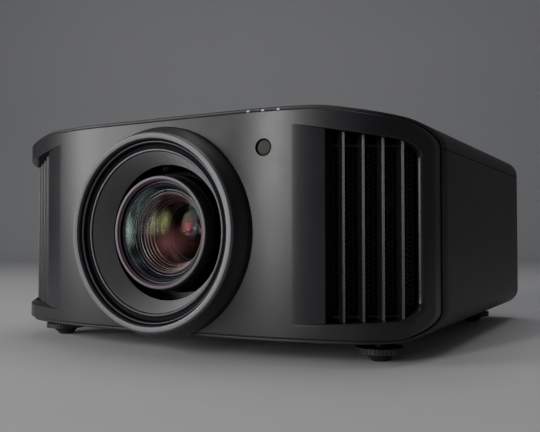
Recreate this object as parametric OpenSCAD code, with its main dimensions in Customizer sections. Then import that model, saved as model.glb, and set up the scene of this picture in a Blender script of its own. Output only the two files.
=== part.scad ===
// Home-theatre projector with a centred lens.
// The lens points along -Y, X runs to the viewer's right and Z is up. The origin lies under the middle,
// on the surface that the feet stand on.

/* [Body] */
// Width of the body
body_w = 500; // [490:1:510]
// Height of the top of the body over the table
body_top = 234; // [230:1:238]
// Height of the underside of the body over the table
body_bottom = 20.5; // [20:0.5:21.5]
// Distance from the origin to the middle of the front panel
front_reach = 237; // [232:1:240]
// Distance from the origin to the rear edge of the body
rear_reach = 259; // [256:1:262]
// Wall of the covers
wall = 3; // [2.5:0.1:3.5]
// Radius of the long lower edges
low_edge_r = 24; // [20:1:28]
// Radius of the long upper edges
top_edge_r = 24; // [20:1:28]
// Half of the flat middle of the top
top_flat = 155; // [150:1:160]
// Radius of the bend between the top's flat middle and its sloping sides
top_bend_r = 150; // [140:5:160]
// Slope of the top's sides
top_slope = 9.4; // [8:0.2:11]

/* [Front panel] */
// Half of the flat middle of the panel, seen from above
front_flat = 75; // [70:1:80]
// Radius of the panel's side corners, seen from above
corner_r = 66; // [62:1:70]
// Turn of the panel where its side corner ends
side_turn = 74; // [72:1:76]
// Distance of the covers' front edge behind the panel's face
rim_back = 4; // [3:0.5:5]
// Turn of the panel where its side corner begins
corner_turn = 20; // [18:1:22]
// Distance that the panel's outline stays inside the covers'
panel_inset = 3.5; // [3.3:0.1:4]
// Height of the joint between the cover and the side walls
seam_z = 200; // [198:0.5:202]
// Width of the joint between covers
joint_gap = 0.5; // [0.3:0.1:0.8]
// Rear edge of the panel's skirt inside the covers, before the origin
skirt_reach = 100; // [95:1:104]

/* [Vents] */
// Where the sloped floor of each vent starts
vent_start = 142; // [140:1:145]
// Where the sloped floor ends and the opening starts
vent_open = 170.5; // [169:0.5:172]
// Outer end of the opening
vent_end = 240.5; // [239.5:0.5:241]
// Lower edge of the vent where it starts
vent_low = 37; // [36:0.5:38]
// Rise of the vent's lower edge per unit of width
vent_rise = 0.04; // [0.02:0.01:0.05]
// Upper edge of the vent where it starts
vent_high = 216.5; // [214:0.5:217]
// Depth of the sloped floor at its inner end
vent_depth = 2.8; // [2:0.1:4]
// Number of fins in each vent
fin_count = 4; // [3:1:5]
// Distance between fins, across the body
fin_pitch = 15; // [14.5:0.1:15.5]
// Distance that each fin stands farther back than its inner neighbour
fin_recede = 9.9; // [9.5:0.1:10.3]

/* [Lens] */
// Height of the lens axis
lens_z = 120; // [118:0.5:122]
// Distance that the lens ring stands before the panel
ring_proud = 22; // [21:0.5:23]
// Outer radius of the lens ring at its rim
rim_r = 95.5; // [94:0.5:97]
// Outer radius of the lens ring at the panel
ring_foot_r = 104; // [102:0.5:106]
// Outer radius of the silver front ring of the lens
front_cell_r = 56; // [55:0.5:57]
// Teeth on the focus and zoom rings, were they toothed all round
ring_teeth = 84; // [84:1:84]
// Teeth on the motor pinions
pinion_teeth = 14; // [14:1:14]
// Gear module
gear_module = 1.5; // [1.5:0.1:1.5]

/* [Feet and mounting] */
// Distance of the feet from the centre line
foot_x = 200; // [195:1:205]
// Distance of the front feet before the origin
foot_front = 165; // [160:1:170]
// Distance of the rear feet behind the origin
foot_rear = 190; // [185:1:200]
// Radius of the knurled disc of a foot
foot_disc_r = 22.5; // [21:0.5:24]
// Half of the ceiling-mount hole distance across
mount_x = 150; // [140:5:160]
// Half of the ceiling-mount hole distance front to back
mount_y = 100; // [100:5:120]
// Radius of the ceiling-mount thread core, M5
mount_r = 2.1; // [2.1:0.1:2.5]

/* [Fans] */
// Radius of the exhaust fan blades
fan_r = 42; // [40:0.5:42]
// Blades of an exhaust fan
fan_blades = 7; // [5:1:9]
// Blades of the panel blower
blower_blades = 20; // [16:1:24]

/* [Hidden] */

charcoal = [0.11, 0.11, 0.12];
black = [0.04, 0.04, 0.045];
satin_grey = [0.20, 0.20, 0.21];
silver = [0.62, 0.63, 0.65];
steel = [0.70, 0.71, 0.72];
board_green = [0.07, 0.28, 0.14];
glass_blue = [0.35, 0.55, 0.60, 0.6];

half_w = body_w / 2;
front_y = -front_reach;
rear_y = rear_reach;
ring_y = front_y - ring_proud;
arc_steps = 14;

// Front outline, seen from above: a flat middle, a wide blend, a corner and a straight slant to the side
crease_x = half_w - panel_inset;
slant = 34;
corner_end_x = crease_x - slant * cos(side_turn);
corner_x = corner_end_x - corner_r * sin(side_turn);
blend_end_x = corner_x + corner_r * sin(corner_turn);
blend_r = (blend_end_x - front_flat) / sin(corner_turn);
blend_end_y = front_y + blend_r * (1 - cos(corner_turn));
corner_y = blend_end_y + corner_r * cos(corner_turn);
corner_end_y = corner_y - corner_r * cos(side_turn);
rear_corner_r = 10;
skirt_y = -skirt_reach;

function arc(cx, cy, r, a0, a1, n) =
  [for (i = [0:n]) [cx + r * cos(a0 + (a1 - a0) * i / n), cy + r * sin(a0 + (a1 - a0) * i / n)]];
function mirrored(points) = [for (i = [len(points) - 1:-1:0]) [-points[i][0], points[i][1]]];

// The right half of the body seen from above, inside by inset an outline whose side is at half
function slant_end(inset, half) = let (x = corner_x + (corner_r - inset) * sin(side_turn))
  [half - inset, corner_y - (corner_r - inset) * cos(side_turn) + (half - inset - x) * tan(side_turn)];
function plan_right(inset, half) = concat(
  arc(front_flat, front_y + blend_r, blend_r - inset, -90, -90 + corner_turn, arc_steps),
  arc(corner_x, corner_y, corner_r - inset, -90 + corner_turn, -90 + side_turn, arc_steps * 2),
  [slant_end(inset, half)],
  arc(half - rear_corner_r, rear_y + half - half_w - rear_corner_r, rear_corner_r - inset, 0, 90, 6));
function plan(inset, half = half_w) = concat(plan_right(inset, half), mirrored(plan_right(inset, half)));

// Height of a corner's centre at cx whose radius r touches a line that falls at slope from point p
function corner_z(p, slope, cx, r) = p[1] - (cx + r * sin(slope) - p[0]) * tan(slope) - r * cos(slope);
bend_end = [top_flat + top_bend_r * sin(top_slope), body_top - top_bend_r * (1 - cos(top_slope))];
top_corner_z = corner_z(bend_end, top_slope, half_w - top_edge_r, top_edge_r);

// The body seen from the front, inside its outline by inset
function section_right(inset) = concat(
  arc(half_w - low_edge_r, body_bottom + low_edge_r, low_edge_r - inset, -90, 0, arc_steps),
  arc(half_w - top_edge_r, top_corner_z, top_edge_r - inset, 0, 90 - top_slope, arc_steps),
  arc(top_flat, body_top - top_bend_r, top_bend_r - inset, 90 - top_slope, 90, 4));
function section(inset) = concat(section_right(inset), mirrored(section_right(inset)));

// Distance of the front surface from the origin plane at a given x
function front_at(x) = abs(x) < front_flat ? front_y
  : abs(x) < blend_end_x ? front_y + blend_r - sqrt(blend_r * blend_r - pow(abs(x) - front_flat, 2))
  : abs(x) < corner_end_x ? corner_y - sqrt(corner_r * corner_r - pow(abs(x) - corner_x, 2))
  : corner_end_y + (abs(x) - corner_end_x) * tan(side_turn);

module box(x, y, z) {
  translate([x[0], y[0], z[0]]) cube([x[1] - x[0], y[1] - y[0], z[1] - z[0]]);
}
module along_y(y) {
  translate([0, y[1], 0]) rotate([90, 0, 0]) linear_extrude(y[1] - y[0]) children();
}
module along_z(z) {
  translate([0, 0, z[0]]) linear_extrude(z[1] - z[0]) children();
}
module rod_x(r, x, y, z) {
  translate([x[0], y, z]) rotate([0, 90, 0]) cylinder(r = r, h = x[1] - x[0], $fn = 48);
}
module rod_y(r, y, x = 0, z = lens_z) {
  translate([x, y[1], z]) rotate([90, 0, 0]) cylinder(r = r, h = y[1] - y[0], $fn = 96);
}
module rod_z(r, z, x, y) {
  translate([x, y, z[0]]) cylinder(r = r, h = z[1] - z[0], $fn = 64);
}
// A turned piece on the lens axis from points of radius and y
module turned(points) {
  translate([0, 0, lens_z]) rotate([-90, 0, 0]) rotate_extrude($fn = 128) polygon(points);
}
module both_sides() {
  children();
  mirror([1, 0, 0]) children();
}
// The covers' form: its front edge lies behind the panel's face
module body_form(inset) {
  intersection() {
    along_y([front_y - 10, rear_y + 10]) polygon(section(inset));
    along_z([0, body_top + 10]) polygon(plan(rim_back + inset, half_w + rim_back));
  }
}
// The covers' wall, open at the front
module shell() {
  difference() {
    body_form(0);
    body_form(wall);
    along_y([front_y - 11, skirt_y + 20]) polygon(section(wall));
  }
}
// The front panel's form: a plug that fits inside the covers
module panel_form(thick) {
  intersection() {
    along_y([front_y - 10, skirt_y]) polygon(section(panel_inset + thick));
    along_z([0, body_top + 10]) polygon(plan(thick, crease_x));
  }
}

// ---------- Covers ----------

ring_hole_r = ring_foot_r - 6;
lip_top = 30;
lip_reach = 12;
ir_x = 115;
ir_z = 197;
ir_r = 7.6;
light_x = [99.4, 114.3, 129.2];
light_w = 3;
fin_lean = 45;
vent_corner_r = 15;
vent_wall = 2.5;
mesh_depth = 19.2;
end_reach = 9;

function vent_floor_z(x) = vent_low + (x - vent_start) * vent_rise;
function vent_top_z(x) = vent_high - (x - vent_start) * tan(top_slope);
vent_corner_x = vent_end - vent_corner_r;
vent_corner_z = corner_z([vent_start, vent_high], top_slope, vent_corner_x, vent_corner_r);

// The vent seen from the front: straight edges, rounded at its outer end and wider by grow
function vent_outline(grow) = concat(
  [[vent_start, vent_floor_z(vent_start) - grow]],
  arc(vent_corner_x, vent_floor_z(vent_corner_x) + vent_corner_r, vent_corner_r + grow, -90, 0, 8),
  arc(vent_corner_x, vent_corner_z, vent_corner_r + grow, 0, 90 - top_slope, 8),
  [[vent_start, vent_top_z(vent_start) + grow]]);
module vent_window(grow) {
  along_y([-half_w, 0]) polygon(vent_outline(grow));
}
// Y of the straight plane that the fins' front edges lie on
function louver_y(x) = front_at(vent_open) + 2.4 + (x - vent_open) * fin_recede / fin_pitch;
// The recess seen from above: from before the panel's face to just short of the mesh
tray_end_y = -157;
tray_far_x = vent_open + (tray_end_y + 0.3 - mesh_depth - louver_y(vent_open)) * fin_pitch / fin_recede;
function tray_plan() = [
  [vent_open - 8, -half_w], [half_w, -half_w], [half_w, tray_end_y], [tray_far_x, tray_end_y],
  [vent_open - 8, louver_y(vent_open - 8) + mesh_depth - 0.3]];
// The walls of the recess, and its floor that slopes in from the panel's face
module vent_tray() {
  intersection() {
    panel_form(0.8);
    difference() {
      intersection() {
        vent_window(vent_wall);
        union() {
          along_z([0, body_top]) polygon(tray_plan());
          along_z([0, body_top]) polygon(floor_side(vent_wall));
        }
      }
      vent_window(0);
    }
  }
  intersection() {
    vent_window(vent_wall);
    along_z([0, body_top])
      polygon(concat(floor_side(0), [[vent_start - 0.5, front_at(vent_start) + wall]]));
  }
  intersection() {
    panel_form(0);
    vent_window(vent_wall);
    along_z([0, body_top]) polygon(end_wall());
  }
}
// The slanted wall at the vent's outer end, seen from above
function end_wall() = let (y = front_at(vent_end)) [
  [vent_end + 1, y + 0.5], [vent_end - end_reach, y + end_reach + 0.5],
  [vent_end - end_reach + vent_wall, y + end_reach + 3], [vent_end + 1, y + end_reach + 3]];
// The sloped floor seen from above, or with back > 0 the space between it and the panel's face
function floor_side(back) = back > 0 ? [
  [vent_start + 0.5, front_at(vent_start) - 5],
  [vent_open + 0.5, front_at(vent_open) - 5],
  [vent_open + 0.5, front_at(vent_open) + vent_depth + back],
  [vent_start + 0.5, front_at(vent_start) + back]]
: [[vent_start - 0.5, front_at(vent_start) + 0.1],
  [vent_open, front_at(vent_open) + vent_depth],
  [vent_open, front_at(vent_open) + vent_depth + vent_wall + 4],
  [vent_open - 3, front_at(vent_open) + vent_depth + vent_wall + 4]];

// The holes that the three light pipes pass through, across the joint between cover and panel
module light_holes() {
  for (x = light_x)
    box([x - light_w / 2 - 0.2, x + light_w / 2 + 0.2], [front_y - 1, front_at(x) + 9], [226.7, 232]);
}

module front_panel() {
  color(charcoal) difference() {
    union() {
      difference() {
        panel_form(0);
        translate([0, 0.01, 0]) panel_form(wall);
        box([-half_w, half_w], [skirt_y - 1, skirt_y + 1], [0, body_top]);
        both_sides() vent_window(0);
      }
      both_sides() vent_tray();
    }
    rod_y(ring_hole_r, [front_y - 5, front_y + 20]);
    rod_y(ir_r, [front_y - 5, front_y + 20], ir_x, ir_z);
    light_holes();
    along_z([0, lip_top]) polygon(plan(lip_reach, crease_x));
  }
}

module top_cover() {
  color(charcoal) difference() {
    shell();
    box([-half_w - 1, half_w + 1], [front_y - 1, rear_y + 1], [0, seam_z]);
    box([-half_w - 1, half_w + 1], [rear_y - wall, rear_y + 1], [0, body_top - wall]);
    light_holes();
  }
}

boss_r = 8;
foot_bore_r = 4;
foot_pad_r = 26.5;
foot_pad_h = 6.8;
foot_places = [[-1, -foot_front], [1, -foot_front], [-1, foot_rear], [1, foot_rear]];
mount_places = [[-1, -1], [1, -1], [-1, 1], [1, 1]];
tray_x = [-60, 120];
tray_y = [108, rear_y - wall];
tray_z = [26.1, 37.5];
floor_z = body_bottom + wall;
intake_slots = 12;

module lower_case() {
  color(charcoal) difference() {
    union() {
      difference() {
        shell();
        box([-half_w - 1, half_w + 1], [front_y - 1, rear_y + 1], [seam_z - joint_gap, body_top + 1]);
        box([-half_w + wall, half_w - wall], [rear_y - wall, rear_y + 1], [floor_z, body_top + 1]);
      }
      for (p = foot_places) {
        rod_z(foot_pad_r, [body_bottom - foot_pad_h, body_bottom + 0.5], p[0] * foot_x, p[1]);
        rod_z(boss_r, [floor_z - 0.5, floor_z + 15], p[0] * foot_x, p[1]);
      }
      for (p = mount_places) rod_z(6, [floor_z - 0.5, floor_z + 8], p[0] * mount_x, p[1] * mount_y);
    }
    for (p = foot_places) rod_z(foot_bore_r, [10, 40], p[0] * foot_x, p[1]);
    for (p = mount_places) rod_z(mount_r, [10, 40], p[0] * mount_x, p[1] * mount_y);
    rod_y(rim_r + 2, [front_y - 1, front_y + 6.5]);
    for (i = [0:intake_slots - 1])
      box([tray_x[0] + 12, tray_x[1] - 12], [122 + i * 10, 127 + i * 10],
          [body_bottom - 1, floor_z + 1]);
    box([tray_x[0] - 0.6, tray_x[1] + 0.6], [rear_y - wall - 0.2, rear_y + 1],
        [floor_z - 0.2, tray_z[1] + 3]);
  }
}

key_x = [-222, -206, -190, -174, -158];
key_z = 186;
key_r = 4.5;
rear_ir = [-190, 150];
inlet = [-205, 62];
grille_x = [-120, 220];
grille_z = [118, 206];
panel_face = rear_y - 3;
terminal_z = 62;
hdmi_x = [-100, -74];
usb_x = -46;
lan_x = -16;
serial_x = 30;
jack_x = [74, 92];

module rear_hole(x, z, w, h) {
  box([x - w / 2, x + w / 2], [panel_face - 9, panel_face + 9], [z - h / 2, z + h / 2]);
}
module rear_panel() {
  color(black) difference() {
    intersection() {
      along_y([panel_face - wall, panel_face]) polygon(section(wall + 0.2));
      along_z([0, body_top]) polygon(plan(wall + 0.2));
    }
    box(grille_x, [panel_face - 9, panel_face + 9], grille_z);
    for (x = key_x) rod_y(key_r + 0.3, [panel_face - 9, panel_face + 9], x, key_z);
    rod_y(ir_r, [panel_face - 9, panel_face + 9], rear_ir[0], rear_ir[1]);
    rear_hole(inlet[0], inlet[1], 28.4, 21.4);
    for (x = hdmi_x) rear_hole(x, terminal_z, 16, 6.8);
    rear_hole(usb_x, terminal_z, 14, 6.8);
    rear_hole(lan_x, terminal_z, 17.2, 15);
    rear_hole(serial_x, terminal_z, 32, 13.4);
    for (x = jack_x) rod_y(4.2, [panel_face - 9, panel_face + 9], x, terminal_z);
    box([tray_x[0] - 0.6, tray_x[1] + 0.6], [panel_face - 9, panel_face + 9], [0, tray_z[1] + 3]);
  }
}

// ---------- Front trim ----------

module lens_ring() {
  color(satin_grey) turned([
    [ring_foot_r, front_y], [ring_foot_r - 0.6, front_y - 4], [rim_r + 3.6, ring_y + 8],
    [rim_r + 1.6, ring_y + 2.4], [rim_r + 0.6, ring_y + 0.8], [rim_r - 0.6, ring_y],
    [rim_r - 4.6, ring_y],
    [rim_r - 5.4, ring_y + 0.8], [rim_r - 6.2, ring_y + 5], [rim_r - 7, ring_y + 12],
    [rim_r - 7, front_y + 6], [rim_r + 1.5, front_y + 6], [rim_r + 1.5, front_y]]);
}
module ring_trim() {
  color(satin_grey) turned([
    [rim_r - 7.3, ring_y + 6], [rim_r - 8.3, ring_y + 5.2], [rim_r - 9, ring_y + 6],
    [rim_r - 9.6, ring_y + 9],
    [81.2, ring_y + 10.4], [80.4, ring_y + 9.4], [79.2, ring_y + 9.4], [78.8, ring_y + 10.6],
    [78.8, ring_y + 14], [rim_r - 7.3, ring_y + 14]]);
}
trap_ribs = 14;
trap_out_r = 78.3;
trap_in_r = 67.5;
trap_front = ring_y + 10.8;
trap_back = ring_y + 30;
function trap_step(i) = trap_out_r - (trap_out_r - trap_in_r) * i / trap_ribs;
function trap_depth(i) = trap_front + (trap_back - trap_front) * i / trap_ribs;
module light_trap() {
  color(black) turned(concat(
    [for (i = [0:trap_ribs - 1], j = [0, 1]) [trap_step(i + j * 0.25), trap_depth(i + j)]],
    [[trap_in_r, trap_back + 1.5], [trap_in_r + 2, trap_back + 1.5], [trap_out_r + 0.3, trap_front + 5.5],
     [trap_out_r + 0.3, trap_front]]));
}

// Fins lean outwards, in front of the opening, and bars behind them hold them
fin_deep = 15;
fin_thick = 2;
first_fin_x = vent_open + 14.7;
bar_x = [vent_open + 0.5, 228];
mesh_x = [158, 233];
module vent_fins() {
  color(charcoal) intersection() {
    panel_form(0.8);
    along_y([-half_w, 0]) polygon(vent_outline(-0.3));
    union() {
      for (x = [0:fin_pitch:fin_pitch * (fin_count - 1)])
        translate([first_fin_x + x, louver_y(first_fin_x + x), 0]) rotate([0, 0, 90 + fin_lean])
          translate([0, -fin_thick / 2, 0]) cube([fin_deep, fin_thick, body_top]);
      for (z = [42, 197]) along_z([z, z + 2]) polygon([
        [bar_x[0], louver_y(bar_x[0]) + 14], [bar_x[1], louver_y(bar_x[1]) + 14],
        [bar_x[1], louver_y(bar_x[1]) + 16], [bar_x[0], louver_y(bar_x[0]) + 16]]);
    }
  }
}
module left_vent_fins() {
  mirror([1, 0, 0]) vent_fins();
}
module right_vent_fins() {
  vent_fins();
}
module vent_mesh() {
  near = [for (x = mesh_x) [x, louver_y(x) + mesh_depth]];
  difference() {
    intersection() {
      vent_window(-0.3);
      along_z([0, body_top])
        polygon(concat(near, [[near[1][0], near[1][1] + 1.2], [near[0][0], near[0][1] + 1.2]]));
    }
    for (i = [0:5], j = [0:8])
      translate([173 + i * 9.5, -half_w, 48 + j * 17]) cube([6, half_w, 13]);
  }
}
module vent_meshes() {
  color(black) both_sides() vent_mesh();
}
module ir_windows() {
  color(black) {
    rod_y(ir_r - 0.4, [front_at(ir_x) + 0.6, front_at(ir_x) + 3.6], ir_x, ir_z);
    rod_y(ir_r - 0.4, [panel_face - 3, panel_face - 0.6], rear_ir[0], rear_ir[1]);
  }
}
module indicator_lights() {
  color(silver) for (x = light_x)
    box([x - light_w / 2, x + light_w / 2], [front_at(x) + 0.6, front_at(x) + 8], [226.9, 231.8]);
}

// ---------- Rear trim ----------

module intake_grille() {
  slats = 17;
  pitch = (grille_z[1] - grille_z[0] - 4) / slats;
  color(black) difference() {
    box([grille_x[0] + 0.3, grille_x[1] - 0.3], [panel_face - 3, panel_face],
        [grille_z[0] + 0.3, grille_z[1] - 0.3]);
    for (i = [0:slats - 1], j = [0:3])
      box([grille_x[0] + 4 + j * 84, grille_x[0] + 84 + j * 84 - 3.5], [panel_face - 9, panel_face + 9],
          [grille_z[0] + 3 + i * pitch, grille_z[0] + 3 + i * pitch + 2.9]);
  }
}
module socket(x, w, h, d) {
  difference() {
    box([x - w / 2, x + w / 2], [panel_face - d, panel_face + 0.4],
        [terminal_z - h / 2, terminal_z + h / 2]);
    box([x - w / 2 + 0.8, x + w / 2 - 0.8], [panel_face - d + 2, panel_face + 1],
        [terminal_z - h / 2 + 0.8, terminal_z + h / 2 - 0.8]);
  }
  box([x - w / 2 + 2.6, x + w / 2 - 2.6], [panel_face - d + 1.9, panel_face - 1],
      [terminal_z - 0.6, terminal_z + 0.6]);
}
module rear_terminals() {
  color(silver) {
    for (x = hdmi_x) socket(x, 15.2, 6, 12);
    socket(usb_x, 13.2, 6, 14);
    socket(lan_x, 16.4, 14.2, 16);
    difference() {
      box([serial_x - 15.5, serial_x + 15.5], [panel_face - 8, panel_face + 0.6],
          [terminal_z - 6.2, terminal_z + 6.2]);
      along_y([panel_face - 5, panel_face + 2]) polygon([
        [serial_x - 8.6, terminal_z + 4], [serial_x - 7, terminal_z - 4], [serial_x + 7, terminal_z - 4],
        [serial_x + 8.6, terminal_z + 4]]);
    }
    for (i = [-2:2])
      rod_y(0.5, [panel_face - 5.1, panel_face - 1], serial_x + i * 2.7, terminal_z + 1.5);
    for (i = [-1.5:1.5])
      rod_y(0.5, [panel_face - 5.1, panel_face - 1], serial_x + i * 2.7, terminal_z - 1.4);
    for (x = jack_x) difference() {
      rod_y(3.9, [panel_face - 12, panel_face + 0.6], x, terminal_z);
      rod_y(1.8, [panel_face - 10, panel_face + 1], x, terminal_z);
    }
  }
}
module ac_inlet() {
  color(black) {
    difference() {
      box([inlet[0] - 13.7, inlet[0] + 13.7], [panel_face - 24, panel_face + 1.5],
          [inlet[1] - 10.2, inlet[1] + 10.2]);
      box([inlet[0] - 12, inlet[0] + 12], [panel_face - 18, panel_face + 2],
          [inlet[1] - 8.2, inlet[1] + 8.2]);
    }
    for (i = [-1:1]) translate([inlet[0] + i * 7, 0, inlet[1] + (i == 0 ? 3.4 : 1)])
      box([-1, 1], [panel_face - 18.1, panel_face - 4], [-2.2, 2.2]);
  }
}
screw_places = [
  [-236, 31], [236, 31], [-236, 120], [236, 120], [-140, 218], [140, 218], [0, 218], [150, 50]];
module case_screws() {
  color(steel) {
    for (p = screw_places) difference() {
      rod_y(3, [panel_face, panel_face + 1.6], p[0], p[1]);
      for (a = [0, 90]) translate([p[0], panel_face + 1.2, p[1]]) rotate([0, a, 0])
        cube([3.6, 1, 0.8], center = true);
    }
    for (x = [-120, 120], y = [-150, 0, 90]) difference() {
      rod_z(3, [body_bottom - 1.6, body_bottom], x, y);
      for (a = [0, 90]) translate([x, y, body_bottom - 1.2]) rotate([0, 0, a])
        cube([3.6, 0.8, 1], center = true);
    }
  }
}

// ---------- Chassis and light engine ----------

deck_z = [floor_z + 0.4, floor_z + 2];

module chassis() {
  color(steel) difference() {
    union() {
      along_z(deck_z) difference() {
        polygon(plan(22));
        translate([-half_w, 225]) square([body_w, 60]);
      }
      for (x = [-86, 74]) box([x, x + 12], [-112, 28], [deck_z[1] - 0.1, 58]);
      for (s = [-1, 1]) box([s * 205 - 1, s * 205 + 1], [-60, 90], [deck_z[1] - 0.1, 60]);
    }
    box([tray_x[0] - 3, tray_x[1] + 3], [tray_y[0] - 4, rear_y], [10, 60]);
    for (p = foot_places) rod_z(boss_r + 1, [10, 40], p[0] * foot_x, p[1]);
    for (p = mount_places) rod_z(7, [10, 40], p[0] * mount_x, p[1] * mount_y);
    rod_z(24, [10, 40], 0, -40);
  }
}
engine_x = [-90, 90];
engine_y = [-110, 30];
engine_z = [58.3, 182];
module optical_block() {
  color(black) difference() {
    union() {
      box(engine_x, engine_y, engine_z);
      box([-150, -89], [-20, 30], [95, 145]);
    }
    box([engine_x[0] + 3, engine_x[1] - 3], [engine_y[0] + 3, engine_y[1] - 3],
        [engine_z[0] + 3, engine_z[1] - 3]);
    rod_y(rear_tube_r + 10, [engine_y[0] - 1, engine_y[0] + 4]);
    rod_z(22, [50, 70], 0, -40);
    rod_x(18, [-151, -80], 5, 120);
  }
}
module prism_block() {
  color(glass_blue) {
    for (a = [0:90:270]) translate([0, -57, lens_z]) rotate([0, 0, a]) along_z([-20, 20])
      polygon([[-24.4, -24.8], [24.4, -24.8], [0, -0.4]]);
  }
}
module imaging_panels() {
  color(board_green) {
    for (s = [-1, 1]) box([s * 28.5 - 1.5, s * 28.5 + 1.5], [-78, -36], [lens_z - 19, lens_z + 19]);
    box([-21, 21], [-31.5, -28.5], [lens_z - 19, lens_z + 19]);
    for (s = [-1, 1], i = [0:4])
      box([s * 35.5 - 4.5, s * 35.5 + 4.5], [-76 + i * 8, -73 + i * 8], [lens_z - 16, lens_z + 16]);
    for (i = [0:4]) box([-18 + i * 8, -15 + i * 8], [-28, -19], [lens_z - 16, lens_z + 16]);
  }
}
module light_source() {
  color(satin_grey) difference() {
    box([-225, -151], [-30, 40], [70, 165]);
    rod_x(16, [-160, -150], 5, 120);
    box([-222, -154], [-27, 37], [73, 162]);
  }
}
module heat_sink() {
  color(silver) {
    box([-225, -151], [41, 47], [70, 165]);
    for (i = [0:14]) box([-225 + i * 5, -223.4 + i * 5], [46.9, 100], [70, 165]);
  }
}
module power_supply() {
  color(board_green) box([110, 200], [-50, 95], [32, 33.6]);
  color(black) {
    box([118, 148], [-42, -6], [33.7, 66]);
    box([118, 156], [12, 50], [33.7, 70]);
    box([164, 192], [-40, 10], [33.7, 58]);
    for (i = [0:3]) rod_z(8, [33.7, 68], 174, 28 + i * 18);
  }
  color(steel) for (x = [114, 196], y = [-46, 91]) rod_z(3, [deck_z[1], 31.9], x, y);
}
module main_board() {
  color(board_green) box([-110, 200], [100, 240], [100, 101.6]);
  color(black) {
    for (i = [0:3]) box([-90 + i * 70, -58 + i * 70], [150, 182], [101.7, 105]);
    for (i = [0:5]) box([-100 + i * 48, -88 + i * 48], [118, 136], [101.7, 104]);
    box([-110, -104], [110, 230], [101.7, 110]);
  }
  color(silver) for (i = [0:1]) box([-94 + i * 140, -54 + i * 140], [192, 228], [101.7, 116]);
  color(steel) for (x = [-106, 196]) rod_z(3, [deck_z[1], 99.9], x, 104);
}

// ---------- Fans ----------

fan_x = 184;
fan_y = [-150, -125];
fan_frame = 92;
hub_r = 18;
module fan_frame() {
  difference() {
    box([fan_x - fan_frame / 2, fan_x + fan_frame / 2], fan_y,
        [lens_z - fan_frame / 2, lens_z + fan_frame / 2]);
    rod_y(fan_r + 1.5, [fan_y[0] - 1, fan_y[1] - 3], fan_x);
    difference() {
      rod_y(fan_r + 1.5, [fan_y[1] - 4, fan_y[1] + 1], fan_x);
      rod_y(hub_r, [fan_y[1] - 4, fan_y[1] + 1], fan_x);
      for (a = [45:90:315])
        translate([fan_x, fan_y[1] - 4, lens_z]) rotate([0, a, 0]) translate([0, 0, -2])
          cube([fan_r + 4, 6, 4]);
    }
    for (i = [-1, 1], j = [-1, 1])
      rod_y(2.2, [fan_y[0] - 1, fan_y[1] + 1], fan_x + i * 41, lens_z + j * 41);
  }
  rod_y(2.95, [fan_y[0] + 8, fan_y[1] - 2], fan_x);
}
blower = [0, -40];
blower_z = [28.5, 56.5];
blower_r = 26;
module blower_housing() {
  difference() {
    union() {
      rod_z(blower_r + 6, blower_z, blower[0], blower[1]);
      box([blower[0] - 32, blower[0] - 8], [blower[1], blower[1] + 44], blower_z);
    }
    rod_z(blower_r + 3.5, [blower_z[0] + 2, blower_z[1] - 2], blower[0], blower[1]);
    box([blower[0] - 29.5, blower[0] - 10.5], [blower[1], blower[1] + 46],
        [blower_z[0] + 2, blower_z[1] - 2]);
    rod_z(18, [blower_z[1] - 4, blower_z[1] + 1], blower[0], blower[1]);
  }
  rod_z(2.95, [blower_z[0] + 1.5, blower_z[0] + 14], blower[0], blower[1]);
}
module fan_frames() {
  color(black) {
    both_sides() fan_frame();
    blower_housing();
  }
}
module fan_wheel() {
  difference() {
    union() {
      rod_y(hub_r, [fan_y[0] + 2, fan_y[1] - 5], fan_x);
      intersection() {
        rod_y(fan_r, [fan_y[0] + 2, fan_y[1] - 5], fan_x);
        for (i = [0:fan_blades - 1])
          translate([fan_x, fan_y[0] + 10.5, lens_z]) rotate([0, i * 360 / fan_blades, 0])
            rotate([35, 0, 0]) translate([hub_r - 2, -0.9, -14]) cube([fan_r, 1.8, 28]);
      }
    }
    rod_y(3, [fan_y[0] + 6, fan_y[1]], fan_x);
  }
}
module right_exhaust_fan() {
  color(satin_grey) fan_wheel();
}
module left_exhaust_fan() {
  color(satin_grey) mirror([1, 0, 0]) fan_wheel();
}
module blower_wheel() {
  color(satin_grey) translate([blower[0], blower[1], 0]) difference() {
    union() {
      rod_z(blower_r, [blower_z[0] + 4, blower_z[0] + 6], 0, 0);
      rod_z(6, [blower_z[0] + 4, blower_z[0] + 16], 0, 0);
      for (i = [0:blower_blades - 1])
        rotate([0, 0, i * 360 / blower_blades]) translate([18, 0, blower_z[0] + 5.5]) rotate([0, 0, 35])
          cube([7.5, 1, 16]);
    }
    rod_z(3, [blower_z[0] + 3, blower_z[0] + 14.5], 0, 0);
  }
}
duct_x = [142, 230];
duct_z = [42, 201];
module exhaust_duct() {
  back_y = fan_y[0] - 0.5;
  box([duct_x[0], duct_x[0] + 2], [-200, back_y], duct_z);
  for (z = [[duct_z[0], duct_z[0] + 2], [duct_z[1] - 2, duct_z[1]]]) along_z(z)
    polygon([[duct_x[0], back_y], [duct_x[0], -200], [164, -200], [duct_x[1], back_y - 1]]);
  difference() {
    box(duct_x, [back_y - 2, back_y], duct_z);
    rod_y(fan_r + 1.5, [back_y - 3, back_y + 1], fan_x);
  }
}
module exhaust_ducts() {
  color(black) both_sides() exhaust_duct();
}

// ---------- Lens and its shift stages ----------

guide_y = [-125, -115];
guide_rod = [72, -132];
guide_rod_r = 4;
v_plate_y = [-135, -128];
v_plate_z = 40;
h_rod_y = -144;
h_rod_r = 3;
h_rod_z = 60;
h_plate_y = [-156, -149.5];
rear_tube_r = 45;
barrel_r = 58.5;
run = 0.05;
v_screw = [92, -132];
v_screw_r = 3;
h_screw_z = 45;
h_motor_r = 6.5;
h_boss = 8.5;

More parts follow.
